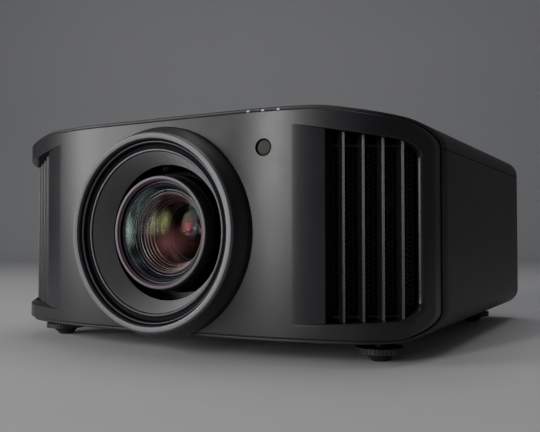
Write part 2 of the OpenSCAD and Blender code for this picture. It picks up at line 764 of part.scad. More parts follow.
module lens_guide() {
  color(satin_grey) {
    difference() {
      union() {
        box([-85, 85], guide_y, [34, 206]);
        for (s = [-1, 1], z = [[34, 42], [198, 206]])
          box([s * guide_rod[0] - 8, s * guide_rod[0] + 8], [guide_rod[1] - 5, guide_y[0] + 0.1], z);
        box([84, 102], [v_screw[1] - 12, guide_y[1]], [34, 40]);
        for (x = [-84, 72])
          box([x, x + 12], [guide_y[1] - 0.1, engine_y[0]], [engine_z[0] + 20, engine_z[1] - 20]);
      }
      rod_y(rear_tube_r + 11, [guide_y[0] - 1, guide_y[1] + 1]);
    }
    for (s = [-1, 1]) rod_z(guide_rod_r, [40, 200], s * guide_rod[0], guide_rod[1]);
  }
}
module v_stage() {
  color(silver) {
    difference() {
      union() {
        box([-62, 62], v_plate_y, [v_plate_z, 190]);
        for (s = [-1, 1])
          box([s * guide_rod[0] - 10.5, s * guide_rod[0] + 10.5],
              [guide_rod[1] - 7, guide_rod[1] + 5], [75, 165]);
        box([79, 100], [v_screw[1] - 6, v_screw[1] + 5], [112, 128]);
        for (s = [-1, 1], z = [-h_rod_z, h_rod_z])
          box([s * 66 - 5, s * 66 + 5], [h_rod_y - 4, v_plate_y[1]], [lens_z + z - 6, lens_z + z + 6]);
        box([-71, -65.6], [h_rod_y - h_boss, h_rod_y + 6], [h_screw_z - h_boss, h_screw_z + h_boss]);
        box([-65.7, -58], [h_rod_y - 5, h_rod_y + 6], [v_plate_z, h_screw_z + h_boss]);
        box([-63.4, -58], [h_rod_y + 5.9, v_plate_y[0] + 0.1], [v_plate_z, h_screw_z + h_boss]);
      }
      rod_y(rear_tube_r + 7, [v_plate_y[0] - 1, v_plate_y[1] + 1]);
      for (s = [-1, 1]) rod_z(guide_rod_r + run, [30, 200], s * guide_rod[0], guide_rod[1]);
      rod_z(v_screw_r + run, [110, 130], v_screw[0], v_screw[1]);
      rod_x(h_motor_r + 0.1, [-72, -66.1], h_rod_y, h_screw_z);
      rod_x(2.5, [-67, -57], h_rod_y, h_screw_z);
    }
    for (z = [-h_rod_z, h_rod_z]) rod_x(h_rod_r, [-63, 63], h_rod_y, lens_z + z);
  }
}
module v_shift_motor() {
  color(steel) {
    rod_z(9, [40.2, 62], v_screw[0], v_screw[1]);
    rod_z(4, [62, 64], v_screw[0], v_screw[1]);
  }
}
module v_shift_screw() {
  color(steel) rod_z(v_screw_r, [64.3, 188], v_screw[0], v_screw[1]);
}
module h_shift_motor() {
  color(steel) difference() {
    rod_x(h_motor_r, [-90, -66.2], h_rod_y, h_screw_z);
    rod_x(2.6, [-67, -65], h_rod_y, h_screw_z);
  }
}
module h_shift_screw() {
  color(steel) rod_x(2.4, [-66, 46], h_rod_y, h_screw_z);
}
module h_stage() {
  color(silver) difference() {
    union() {
      box([-60, 60], h_plate_y, [36, 190]);
      for (z = [-h_rod_z, h_rod_z])
        box([-34, 34], [h_plate_y[1] - 0.1, h_rod_y + 5.5], [lens_z + z - 6, lens_z + z + 6]);
      box([-8, 12], [h_plate_y[1] - 0.1, h_rod_y + 5], [h_screw_z - 6, h_screw_z + 6]);
      for (s = [-1, 1]) box([s * pinion_x - 12, s * pinion_x + 12], [h_plate_y[0], h_plate_y[1]],
                            [lens_z + 30, lens_z + 70]);
    }
    rod_y(rear_tube_r + run, [h_plate_y[0] - 1, h_rod_y + 6]);
    for (z = [-h_rod_z, h_rod_z]) rod_x(h_rod_r + run, [-40, 40], h_rod_y, lens_z + z);
    rod_x(2.45, [-20, 20], h_rod_y, h_screw_z);
    for (s = [-1, 1]) rod_y(motor_r + 0.2, [h_plate_y[0] - 1, h_plate_y[1] + 1], s * pinion_x, pinion_z);
  }
}
bore_r = front_cell_r + run;
barrel_front = ring_y + 33;
module lens_barrel() {
  color(black) difference() {
    union() {
      rod_y(barrel_r, [barrel_front, -157]);
      rod_y(rear_tube_r, [-160, -88]);
      rod_y(barrel_r + 4, [-164, h_plate_y[0] - 0.3]);
      rod_y(barrel_r + 2.2, [focus_y[1] + 0.4, zoom_y[0] - 0.4]);
      rod_y(barrel_r + 2.2, [focus_y[0] - 3, focus_y[0] - 0.4]);
    }
    rod_y(bore_r, [barrel_front - 1, -203]);
    rod_y(44, [-204, -162]);
    rod_y(36, [-163, -87]);
  }
}
ring_pitch_r = ring_teeth * gear_module / 2;
pinion_pitch_r = pinion_teeth * gear_module / 2;
ring_root_r = ring_pitch_r - 1.25 * gear_module;
gear_angle = 45;
centre_distance = ring_pitch_r + pinion_pitch_r + 0.1;
pinion_x = centre_distance * cos(gear_angle);
pinion_z = lens_z + centre_distance * sin(gear_angle);
focus_y = [-206, -196];
zoom_y = [-180, -170];
motor_r = 9;
pressure = 20;
backlash = 0.35;
root_fill = 0.15;
function involute_turn(a) = tan(a) - a * PI / 180;
// Half of a tooth's angle at radius r, for a gear with teeth of the given number
function half_tooth(r, teeth) =
  let (pitch_r = teeth * gear_module / 2, base_r = pitch_r * cos(pressure))
  let (a = r > base_r ? acos(base_r / r) : 0)
  90 / teeth - backlash / pitch_r * 28.6 + (involute_turn(pressure) - involute_turn(a)) * 180 / PI;
function tooth_radii(teeth) =
  let (p = teeth * gear_module / 2, m = gear_module)
  [p - 1.25 * m, p - 0.85 * m, p - 0.4 * m, p, p + 0.45 * m, p + 0.9 * m];
// One tooth centred on angle c; its root is sunk into the wheel
function tooth(teeth, c) =
  let (radii = tooth_radii(teeth), last = len(tooth_radii(teeth)) - 1)
  let (foot_r = radii[0] - 0.6)
  concat([foot_r * [cos(c - half_tooth(radii[0], teeth)), sin(c - half_tooth(radii[0], teeth))]],
    [for (r = radii) r * [cos(c - half_tooth(r, teeth)), sin(c - half_tooth(r, teeth))]],
    [for (i = [last:-1:0])
      radii[i] * [cos(c + half_tooth(radii[i], teeth)), sin(c + half_tooth(radii[i], teeth))]],
    [foot_r * [cos(c + half_tooth(radii[0], teeth)), sin(c + half_tooth(radii[0], teeth))]]);

// A ring with teeth only near its pinion, as far as its turn needs
module toothed_ring(y, centre, reach) {
  pitch = 360 / ring_teeth;
  span = floor(reach / pitch);
  translate([0, 0, lens_z]) difference() {
    union() {
      along_y(y) circle(ring_root_r + root_fill, $fn = 128);
      along_y(y) for (i = [-span:span]) polygon(tooth(ring_teeth, centre + i * pitch));
    }
    along_y([y[0] - 1, y[1] + 1]) circle(barrel_r + run, $fn = 128);
  }
}
module pinion(y, side) {
  pitch = 360 / pinion_teeth;
  facing = side > 0 ? 180 + gear_angle : -gear_angle;
  translate([side * pinion_x, 0, pinion_z]) difference() {
    union() {
      along_y(y) circle(pinion_pitch_r - 1.25 * gear_module + root_fill, $fn = 48);
      along_y(y) for (i = [0:pinion_teeth - 1]) polygon(tooth(pinion_teeth, facing + (i + 0.5) * pitch));
    }
    along_y([y[0] - 1, y[1] + 1]) circle(2.05, $fn = 48);
  }
}
module focus_ring() {
  color(black) toothed_ring(focus_y, gear_angle, 62);
}
module zoom_ring() {
  color(black) toothed_ring(zoom_y, 180 - gear_angle, 52);
}
module focus_pinion() {
  color(silver) pinion(focus_y, 1);
}
module zoom_pinion() {
  color(silver) pinion(zoom_y, -1);
}
module lens_motors() {
  color(steel) for (m = [[1, focus_y], [-1, zoom_y]]) {
    rod_y(motor_r, [m[1][1] + 2, h_plate_y[1] + 1], m[0] * pinion_x, pinion_z);
    rod_y(2, [m[1][0] - 1, m[1][1] + 2.1], m[0] * pinion_x, pinion_z);
  }
}
cell_front = ring_y + 18;
module front_group() {
  color(silver) turned([
    [front_cell_r - 0.8, cell_front], [front_cell_r, cell_front + 0.8], [front_cell_r, cell_front + 34],
    [front_cell_r - 5, cell_front + 34], [front_cell_r - 5, cell_front + 23],
    [front_cell_r - 3.6, cell_front + 23], [front_cell_r - 3.6, cell_front + 3],
    [front_cell_r - 4.2, cell_front + 1.2], [front_cell_r - 3.6, cell_front]]);
}
glass_r = front_cell_r - 3.7;
glass_curve = 120;
glass_edge = cell_front + 14;
module front_glass() {
  color(glass_blue) intersection() {
    rod_y(glass_r, [cell_front, cell_front + 22.8]);
    translate([0, glass_edge + sqrt(glass_curve * glass_curve - glass_r * glass_r), lens_z]) rotate([90, 0, 0])
      sphere(r = glass_curve, $fn = 128);
  }
}
module zoom_group() {
  color(glass_blue) union() {
    difference() {
      rod_y(43.9, [-188, -168]);
      rod_y(38, [-189, -167]);
    }
    intersection() {
      rod_y(38.2, [-185, -171]);
      translate([0, -185 + 90, lens_z]) rotate([90, 0, 0]) sphere(r = 90, $fn = 128);
    }
  }
}

// ---------- Filter, feet and keys ----------

module filter_tray() {
  color(black) difference() {
    union() {
      box([tray_x[0], tray_x[1]], [tray_y[0], panel_face + 0.1], tray_z);
      box([tray_x[0] - 0.2, tray_x[1] + 0.2], [panel_face - 2.6, panel_face + 0.4],
          [tray_z[0], tray_z[1] + 2]);
    }
    box([tray_x[0] + 6, tray_x[1] - 6], [tray_y[0] + 6, panel_face - 10], [tray_z[0] - 1, tray_z[1] + 1]);
    box([tray_x[0] + 70, tray_x[1] - 70], [panel_face - 6, panel_face + 1], [tray_z[0] - 1, tray_z[0] + 5]);
  }
}
module filter_mesh() {
  color(satin_grey) box([tray_x[0] + 6.2, tray_x[1] - 6.2], [tray_y[0] + 6.2, panel_face - 10.2],
                        [tray_z[0] + 2, tray_z[1] - 2]);
}
disc_z = [8, 13.3];
knurls = 36;
module foot_tip(place) {
  color(black) translate([place[0] * foot_x, place[1], 0]) {
    cylinder(r1 = 7, r2 = 15, h = disc_z[0] - 0.3, $fn = 64);
    cylinder(r = 3, h = disc_z[0] + 8, $fn = 48);
  }
}
module foot_screw(place) {
  color(satin_grey) translate([place[0] * foot_x, place[1], 0]) difference() {
    union() {
      rod_z(foot_disc_r, disc_z, 0, 0);
      rod_z(foot_bore_r - run, [disc_z[1] - 1, floor_z + 14], 0, 0);
    }
    rod_z(3 + run, [disc_z[0] - 1, disc_z[0] + 9], 0, 0);
    for (i = [0:knurls - 1])
      rotate([0, 0, i * 360 / knurls]) rod_z(0.7, [disc_z[0] - 1, disc_z[1] + 1], foot_disc_r + 0.2, 0);
  }
}
module foot_tip_front_left() {
  foot_tip(foot_places[0]);
}
module foot_tip_front_right() {
  foot_tip(foot_places[1]);
}
module foot_tip_rear_left() {
  foot_tip(foot_places[2]);
}
module foot_tip_rear_right() {
  foot_tip(foot_places[3]);
}
module foot_screw_front_left() {
  foot_screw(foot_places[0]);
}
module foot_screw_front_right() {
  foot_screw(foot_places[1]);
}
module foot_screw_rear_left() {
  foot_screw(foot_places[2]);
}
module foot_screw_rear_right() {
  foot_screw(foot_places[3]);
}
module key(x) {
  color(satin_grey) {
    rod_y(key_r, [panel_face - 6, panel_face + 1.6], x, key_z);
    rod_y(key_r + 2, [panel_face - 6, panel_face - 3.3], x, key_z);
  }
}
module power_key() {
  key(key_x[0]);
}
module source_key() {
  key(key_x[1]);
}
module menu_key() {
  key(key_x[2]);
}
module ok_key() {
  key(key_x[3]);
}
module back_key() {
  key(key_x[4]);
}

front_panel();
top_cover();
lower_case();
rear_panel();
lens_ring();
ring_trim();
light_trap();
left_vent_fins();
right_vent_fins();
vent_meshes();
ir_windows();
indicator_lights();
rear_terminals();
ac_inlet();
intake_grille();
case_screws();
chassis();
light_source();
heat_sink();
optical_block();
prism_block();
imaging_panels();
lens_guide();
v_shift_motor();
exhaust_ducts();
power_supply();
main_board();
fan_frames();
left_exhaust_fan();
right_exhaust_fan();
blower_wheel();
v_stage();
h_stage();
v_shift_screw();
h_shift_screw();
h_shift_motor();
lens_barrel();
focus_ring();
zoom_ring();
focus_pinion();
zoom_pinion();
lens_motors();
front_group();
front_glass();
zoom_group();
filter_tray();
filter_mesh();
foot_tip_front_left();
foot_tip_front_right();
foot_tip_rear_left();
foot_tip_rear_right();
foot_screw_front_left();
foot_screw_front_right();
foot_screw_rear_left();
foot_screw_rear_right();
power_key();
source_key();
menu_key();
ok_key();
back_key();
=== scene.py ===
"""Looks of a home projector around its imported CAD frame.

Lengths in this script are millimetres until a mesh is made."""

import math

import bpy
import bmesh
from mathutils import Matrix, Vector
from mathutils.geometry import delaunay_2d_cdt


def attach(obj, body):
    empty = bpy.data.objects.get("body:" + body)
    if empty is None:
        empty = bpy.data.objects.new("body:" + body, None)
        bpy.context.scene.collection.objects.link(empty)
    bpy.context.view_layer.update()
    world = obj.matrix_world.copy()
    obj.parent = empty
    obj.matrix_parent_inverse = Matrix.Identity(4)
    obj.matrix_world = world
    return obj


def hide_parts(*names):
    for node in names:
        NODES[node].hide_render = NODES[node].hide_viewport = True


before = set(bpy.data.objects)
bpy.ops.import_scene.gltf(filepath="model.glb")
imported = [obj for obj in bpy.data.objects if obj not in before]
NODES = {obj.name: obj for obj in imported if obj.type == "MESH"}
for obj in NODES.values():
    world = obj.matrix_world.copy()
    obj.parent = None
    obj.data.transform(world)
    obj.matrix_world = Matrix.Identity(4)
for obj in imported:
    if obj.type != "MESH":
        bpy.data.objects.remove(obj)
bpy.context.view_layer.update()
MM = 0.001

# ---------- The part's main sizes ----------

HALF_W, TOP_Z, LOW_Z = 250.0, 234.0, 20.5
FRONT_Y, REAR_Y, WALL = -237.0, 259.0, 3.0
EDGE_R, TOP_FLAT, BEND_R, SLOPE = 24.0, 155.0, 150.0, math.radians(9.4)
FLAT, CORNER_R, SLANT = 75.0, 66.0, 34.0
TURN, SIDE_TURN = math.radians(20), math.radians(74)
INSET, RIM_BACK, SEAM_Z, GAP, SKIRT_Y = 3.5, 4.0, 200.0, 0.5, -100.0
LIP_TOP, LIP_REACH = 30.0, 11.0
CREASE_X = HALF_W - INSET
CORNER_END_X = CREASE_X - SLANT * math.cos(SIDE_TURN)
CORNER_X = CORNER_END_X - CORNER_R * math.sin(SIDE_TURN)
BLEND_X = CORNER_X + CORNER_R * math.sin(TURN)
BLEND_R = (BLEND_X - FLAT) / math.sin(TURN)
BLEND_Y = FRONT_Y + BLEND_R * (1 - math.cos(TURN))
CORNER_Y = BLEND_Y + CORNER_R * math.cos(TURN)
REAR_CORNER_R = 6.0
LEDGE = 7.0
VENT_START, VENT_OPEN, VENT_END = 142.0, 170.5, 240.5
VENT_LOW, VENT_RISE, VENT_HIGH, VENT_CORNER_R = 37.0, 0.04, 216.5, 15.0
FLOOR_DEPTH, FLOOR_POWER = 2.8, 1.4
LOUVER_BACK, MESH_DEPTH, MESH_THICK = 2.4, 19.3, 0.9
FIN_DEEP, FIN_THICK, FIN_COUNT, FIN_PITCH, FIN_RECEDE = 15.0, 2.0, 4, 15.0, 9.9
FIRST_FIN, FIN_LEAN, BAR_PLACES, BAR_SIDE = VENT_OPEN + 14.7, math.radians(135), (42.0, 197.0), 2.0
LENS_Z, RIM_R, FOOT_R = 120.0, 95.5, 104.0
RING_Y = FRONT_Y - 22
CELL_FRONT = RING_Y + 18
CELL_R = 56.0
IR_X, IR_Z = 115.0, 197.0
REAR_IR_X, REAR_IR_Z, REAR_IR_BACK = -190.0, 150.0, 3.8
# The last of these is the y at which the zoom element's painted reflections lie.
ZOOM_EDGE, REAR_EDGE, PAINTED_REFLECTION_Y = -181.2, -169.0, -189.0
LIGHT_PLACES, LIGHT_LOW, LIGHT_HIGH, LIGHT_HALF = (99.4, 114.3, 129.2), 226.9, 232.0, 1.5


def front_at(x, inset=0.0):
    """Y of the front outline at x, inside it by inset."""
    x = abs(x)
    blend, corner = BLEND_R - inset, CORNER_R - inset
    if x < FLAT:
        return FRONT_Y + inset
    if x < FLAT + blend * math.sin(TURN):
        return FRONT_Y + BLEND_R - math.sqrt(blend * blend - (x - FLAT) ** 2)
    end = CORNER_X + corner * math.sin(SIDE_TURN)
    if x < end:
        return CORNER_Y - math.sqrt(corner * corner - (x - CORNER_X) ** 2)
    return CORNER_Y - corner * math.cos(SIDE_TURN) + (x - end) * math.tan(SIDE_TURN)


def rear_at(x):
    """Y of the rear outline at x, with its rounded corners."""
    over = abs(x) - (HALF_W - REAR_CORNER_R)
    if over <= 0:
        return REAR_Y
    return REAR_Y - REAR_CORNER_R + math.sqrt(max(0.0, REAR_CORNER_R**2 - over * over))


def arc(cx, cy, r, a0, a1, n):
    """Points on an arc, angles in degrees."""
    steps = [math.radians(a0 + (a1 - a0) * i / n) for i in range(n + 1)]
    return [(cx + r * math.cos(a), cy + r * math.sin(a)) for a in steps]


BEND_END = (TOP_FLAT + BEND_R * math.sin(SLOPE), TOP_Z - BEND_R * (1 - math.cos(SLOPE)))
TOP_CORNER_X = HALF_W - EDGE_R


def corner_z(p, cx, r):
    """Height of a corner of radius r at cx that touches the top's slope from p."""
    return p[1] - (cx + r * math.sin(SLOPE) - p[0]) * math.tan(SLOPE) - r * math.cos(SLOPE)


TOP_CORNER_Z = corner_z(BEND_END, TOP_CORNER_X, EDGE_R)


def top_right(inset, steps=14):
    """The section's upper right part from the side's straight wall to the middle of the top."""
    slope = math.degrees(SLOPE)
    curve = arc(TOP_CORNER_X, TOP_CORNER_Z, EDGE_R - inset, 0, 90 - slope, steps)
    bend = arc(TOP_FLAT, TOP_Z - BEND_R, BEND_R - inset, 90 - slope, 90, 8)
    run = [(curve[-1][0] + (bend[0][0] - curve[-1][0]) * i / 10,
            curve[-1][1] + (bend[0][1] - curve[-1][1]) * i / 10) for i in range(1, 10)]
    flat = [(TOP_FLAT - TOP_FLAT * i / 36, TOP_Z - inset) for i in range(1, 36)]
    return curve + run + bend + flat


def low_right(inset, steps=14):
    """The section's lower right part from the middle of the underside to the side's straight wall."""
    flat = [((HALF_W - EDGE_R) * i / 44, LOW_Z + inset) for i in range(1, 44)]
    return flat + arc(HALF_W - EDGE_R, LOW_Z + EDGE_R, EDGE_R - inset, -90, 0, steps)


def mirrored(points):
    return [(-x, z) for x, z in reversed(points)]


def upper_section(inset, z):
    """Open section line from the right side at z over the top to the left side at z."""
    half = [(HALF_W - inset, z + (TOP_CORNER_Z - z) * i / 3) for i in range(3)] + top_right(inset)
    return half + [(0.0, TOP_Z - inset)] + mirrored(half)


def lower_section(inset, z):
    """Open section line from the left side at z round the underside to the right side at z."""
    top = LOW_Z + EDGE_R
    half = low_right(inset) + [(HALF_W - inset, top + (z - top) * i / 12) for i in range(1, 13)]
    return mirrored(half) + [(0.0, LOW_Z + inset)] + half


def full_section(inset):
    """Closed section line, anticlockwise from the middle of the underside, seen along +Y."""
    low, top = low_right(inset), top_right(inset)
    side = [(HALF_W - inset, low[-1][1] + (top[0][1] - low[-1][1]) * i / 40) for i in range(1, 40)]
    half = low + side + top
    return [(0.0, LOW_Z + inset)] + half + [(0.0, TOP_Z - inset)] + mirrored(half)


# ---------- Mesh helpers ----------


def piece(name, points, faces, material, body="root", nodes=(), sharp=35):
    """A shown mesh from points in millimetres that rides on a body and stands for CAD nodes."""
    mesh = bpy.data.meshes.new(name)
    mesh.from_pydata([tuple(c * MM for c in p) for p in points], [], faces)
    bm = bmesh.new()
    bm.from_mesh(mesh)
    bmesh.ops.remove_doubles(bm, verts=bm.verts, dist=2e-6)
    bmesh.ops.dissolve_degenerate(bm, edges=bm.edges, dist=1e-7)
    bmesh.ops.recalc_face_normals(bm, faces=bm.faces)
    bm.to_mesh(mesh)
    bm.free()
    mesh.shade_smooth()
    mesh.set_sharp_from_angle(angle=math.radians(sharp))
    mesh.materials.append(material)
    ob = bpy.data.objects.new(name, mesh)
    bpy.context.scene.collection.objects.link(ob)
    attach(ob, body)
    if nodes:
        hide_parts(*nodes)
    return ob


class Build:
    """Collects the points and faces of one piece."""

    def __init__(self):
        self.points, self.faces = [], []

    def grid(self, rows, loop=False, ring=False):
        """Quads between equal rows; loop joins each row's ends and ring joins the last row to the first."""
        base, n = len(self.points), len(rows[0])
        for row in rows:
            self.points.extend(row)
        for i in range(len(rows) if ring else len(rows) - 1):
            k = (i + 1) % len(rows)
            for j in range(n if loop else n - 1):
                m = (j + 1) % n
                self.faces.append((base + i * n + j, base + i * n + m, base + k * n + m, base + k * n + j))

    def cap(self, row, point=None):
        """Closes a row of points with one face, or with a fan to a point."""
        base = len(self.points)
        self.points.extend(row)
        if point is None:
            self.faces.append(tuple(range(base, base + len(row))))
            return
        self.points.append(point)
        for j in range(len(row)):
            self.faces.append((base + j, base + (j + 1) % len(row), base + len(row)))

    def solid(self, rows):
        """A closed body through closed rows, with flat ends."""
        self.grid(rows, loop=True)
        self.cap(rows[0])
        self.cap(rows[-1])

    def box(self, lo, hi, r=0.0, axis=2):
        """A box whose edges along one axis and round both ends are rounded by r."""
        order = {0: (1, 2, 0), 1: (2, 0, 1), 2: (0, 1, 2)}[axis]
        u, v, w = order
        r = min(r, (hi[u] - lo[u]) / 2.01, (hi[v] - lo[v]) / 2.01, (hi[w] - lo[w]) / 2.01)

        def row(inset, height):
            flat = rounded_box(lo[u] + inset, lo[v] + inset, hi[u] - inset, hi[v] - inset,
                               max(r - inset, 0.02))
            out = []
            for a, b in flat:
                p = [0.0, 0.0, 0.0]
                p[u], p[v], p[w] = a, b, height
                out.append(tuple(p))
            return out

        if r <= 0.02:
            self.solid([row(0, lo[w]), row(0, hi[w])])
            return
        steps = [math.radians(a) for a in (0, 30, 60, 90)]
        low = [row(r * (1 - math.sin(a)) * 0.98, lo[w] + r * (1 - math.cos(a))) for a in steps]
        high = [row(r * (1 - math.sin(a)) * 0.98, hi[w] - r * (1 - math.cos(a))) for a in reversed(steps)]
        self.solid(low + high)

    def turned(self, profile, centre=(0.0, 0.0), steps=160, axis="y"):
        """A turned body from a closed profile of (radius, place along the axis)."""
        rows = []
        for i in range(steps):
            a = 2 * math.pi * i / steps
            c, s = math.cos(a), math.sin(a)
            if axis == "y":
                rows.append([(centre[0] + r * c, t, centre[1] + r * s) for r, t in profile])
            else:
                rows.append([(centre[0] + r * c, centre[1] + r * s, t) for r, t in profile])
        self.grid(rows, loop=True, ring=True)


def rounded_box(x0, y0, x1, y1, r, steps=4):
    """Points round a rectangle with rounded corners, anticlockwise."""
    return (arc(x1 - r, y1 - r, r, 0, 90, steps) + arc(x0 + r, y1 - r, r, 90, 180, steps)
            + arc(x0 + r, y0 + r, r, 180, 270, steps) + arc(x1 - r, y0 + r, r, 270, 360, steps))


def filleted(points, radii, steps=4):
    """A closed line with each corner rounded; radii is one number or one for each point."""
    out, n = [], len(points)
    for i, p in enumerate(points):
        want = radii if isinstance(radii, (int, float)) else radii[i]
        p, a, b = Vector(p), Vector(points[i - 1]), Vector(points[(i + 1) % n])
        u, v = (a - p), (b - p)
        if want <= 0 or u.length < 1e-6 or v.length < 1e-6:
            out.append(tuple(p))
            continue
        lu, lv = u.length, v.length
        u, v = u / lu, v / lv
        half = math.acos(max(-1.0, min(1.0, u.dot(v)))) / 2
        if half > math.radians(89) or half < 1e-3:
            out.append(tuple(p))
            continue
        t = min(want / math.tan(half), 0.48 * lu, 0.48 * lv)
        r = t * math.tan(half)
        centre = p + (u + v).normalized() * (r / math.sin(half))
        start, end = p + u * t - centre, p + v * t - centre
        turn = math.atan2(start.x * end.y - start.y * end.x, start.dot(end))
        for k in range(steps + 1):
            q = Matrix.Rotation(turn * k / steps, 2) @ start
            out.append(tuple(centre + q))
    return out


# ---------- Materials ----------


def coated(name, colour, rough, grain=0.0, grain_size=0.3, metallic=0.0, spread=0.06, mottle=0.12,
           coat=0.0, ior=1.5, streak=None, edge=0.0):
    """A painted, moulded or metal finish with slow mottling, varied roughness and a fine grain."""
    mat = bpy.data.materials.new(name)
    mat.use_nodes = True
    tree = mat.node_tree
    nodes, links = tree.nodes, tree.links
    shader = nodes["Principled BSDF"]
    shader.inputs["Metallic"].default_value = metallic
    shader.inputs["IOR"].default_value = ior
    shader.inputs["Coat Weight"].default_value = coat
    shader.inputs["Coat Roughness"].default_value = 0.12
    place = nodes.new("ShaderNodeTexCoord")
    source = place.outputs["Object"]
    if streak:
        stretch = nodes.new("ShaderNodeMapping")
        stretch.inputs["Scale"].default_value = streak
        links.new(source, stretch.inputs["Vector"])
        source = stretch.outputs["Vector"]
    slow = nodes.new("ShaderNodeTexNoise")
    slow.inputs["Scale"].default_value = 26.0
    slow.inputs["Detail"].default_value = 5.0
    slow.inputs["Roughness"].default_value = 0.6
    fine = nodes.new("ShaderNodeTexNoise")
    fine.inputs["Scale"].default_value = 1.0 / (grain_size * MM)
    fine.inputs["Detail"].default_value = 3.0
    fine.inputs["Roughness"].default_value = 0.55
    links.new(place.outputs["Object"], slow.inputs["Vector"])
    links.new(source, fine.inputs["Vector"])
    tint = nodes.new("ShaderNodeMix")
    tint.data_type = "RGBA"
    tint.inputs["A"].default_value = (*[c * (1 - mottle) for c in colour], 1)
    tint.inputs["B"].default_value = (*[min(1.0, c * (1 + mottle)) for c in colour], 1)
    links.new(slow.outputs["Fac"], tint.inputs["Factor"])
    links.new(tint.outputs["Result"], shader.inputs["Base Color"])
    mixed = nodes.new("ShaderNodeMath")
    mixed.operation = "MULTIPLY_ADD"
    mixed.inputs[1].default_value = 0.5
    links.new(slow.outputs["Fac"], mixed.inputs[0])
    half = nodes.new("ShaderNodeMath")
    half.operation = "MULTIPLY"
    half.inputs[1].default_value = 0.5
    links.new(fine.outputs["Fac"], half.inputs[0])
    links.new(half.outputs["Value"], mixed.inputs[2])
    gloss = nodes.new("ShaderNodeMapRange")
    gloss.inputs["From Min"].default_value = 0.3
    gloss.inputs["From Max"].default_value = 0.7
    gloss.inputs["To Min"].default_value = max(0.02, rough - spread)
    gloss.inputs["To Max"].default_value = min(1.0, rough + spread)
    links.new(mixed.outputs["Value"], gloss.inputs["Value"])
    links.new(gloss.outputs["Result"], shader.inputs["Roughness"])
    if grain > 0:
        bump = nodes.new("ShaderNodeBump")
        bump.inputs["Strength"].default_value = grain
        bump.inputs["Distance"].default_value = grain_size * MM * 0.25
        links.new(fine.outputs["Fac"], bump.inputs["Height"])
        links.new(bump.outputs["Normal"], shader.inputs["Normal"])
    if edge > 0:
        soft = nodes.new("ShaderNodeBevel")
        soft.samples = 4
        soft.inputs["Radius"].default_value = edge * MM
        links.new(soft.outputs["Normal"], bump.inputs["Normal"] if grain > 0 else shader.inputs["Normal"])
    return mat


def film_and_painted_reflections(name, see, tint, shine, painted_reflections=(), rough=0.06):
    """A coated lens surface: what lies behind shows under a tinted reflection, plus soft coloured patches
    that are painted reflections and highlights of the lens elements.

    Each painted reflection is (centre, radii, colour, strength), in millimetres."""
    mat = bpy.data.materials.new(name)
    mat.use_nodes = True
    nodes, links = mat.node_tree.nodes, mat.node_tree.links
    nodes.remove(nodes["Principled BSDF"])
    place = nodes.new("ShaderNodeTexCoord")
    clear = nodes.new("ShaderNodeBsdfTransparent")
    clear.inputs["Color"].default_value = (*see, 1)
    gloss = nodes.new("ShaderNodeBsdfGlossy")
    gloss.inputs["Color"].default_value = (*tint, 1)
    smear = nodes.new("ShaderNodeTexNoise")
    smear.inputs["Scale"].default_value = 60.0
    rub = nodes.new("ShaderNodeMapRange")
    rub.inputs["To Min"].default_value = rough * 0.6
    rub.inputs["To Max"].default_value = rough * 1.4
    links.new(place.outputs["Object"], smear.inputs["Vector"])
    links.new(smear.outputs["Fac"], rub.inputs["Value"])
    links.new(rub.outputs["Result"], gloss.inputs["Roughness"])
    weight = nodes.new("ShaderNodeLayerWeight")
    weight.inputs["Blend"].default_value = 0.25
    share = nodes.new("ShaderNodeMapRange")
    share.inputs["To Min"].default_value = shine
    share.inputs["To Max"].default_value = min(1.0, shine * 4)
    links.new(weight.outputs["Facing"], share.inputs["Value"])
    mixed = nodes.new("ShaderNodeMixShader")
    links.new(share.outputs["Result"], mixed.inputs["Fac"])
    links.new(clear.outputs["BSDF"], mixed.inputs[1])
    links.new(gloss.outputs["BSDF"], mixed.inputs[2])
    surface = mixed.outputs["Shader"]
    # Painted reflections: each patch adds diffuse colour, lit by the lamps, that stands in for light
    # reflected in the lens.
    for centre, radii, colour, strength in painted_reflections:
        fit = nodes.new("ShaderNodeMapping")
        fit.inputs["Scale"].default_value = [1 / (r * MM) for r in radii]
        fit.inputs["Location"].default_value = [-c / r for c, r in zip(centre, radii)]
        ball = nodes.new("ShaderNodeTexGradient")
        ball.gradient_type = "QUADRATIC_SPHERE"
        amount = nodes.new("ShaderNodeMath")
        amount.operation = "MULTIPLY"
        amount.inputs[1].default_value = strength
        painted_patch = nodes.new("ShaderNodeBsdfDiffuse")
        painted_patch.inputs["Color"].default_value = (*colour, 1)
        add = nodes.new("ShaderNodeMixShader")
        links.new(place.outputs["Object"], fit.inputs["Vector"])
        links.new(fit.outputs["Vector"], ball.inputs["Vector"])
        links.new(ball.outputs["Fac"], amount.inputs[0])
        links.new(amount.outputs["Value"], add.inputs["Fac"])
        links.new(surface, add.inputs[1])
        links.new(painted_patch.outputs["BSDF"], add.inputs[2])
        surface = add.outputs["Shader"]
    links.new(surface, nodes["Material Output"].inputs["Surface"])
    return mat


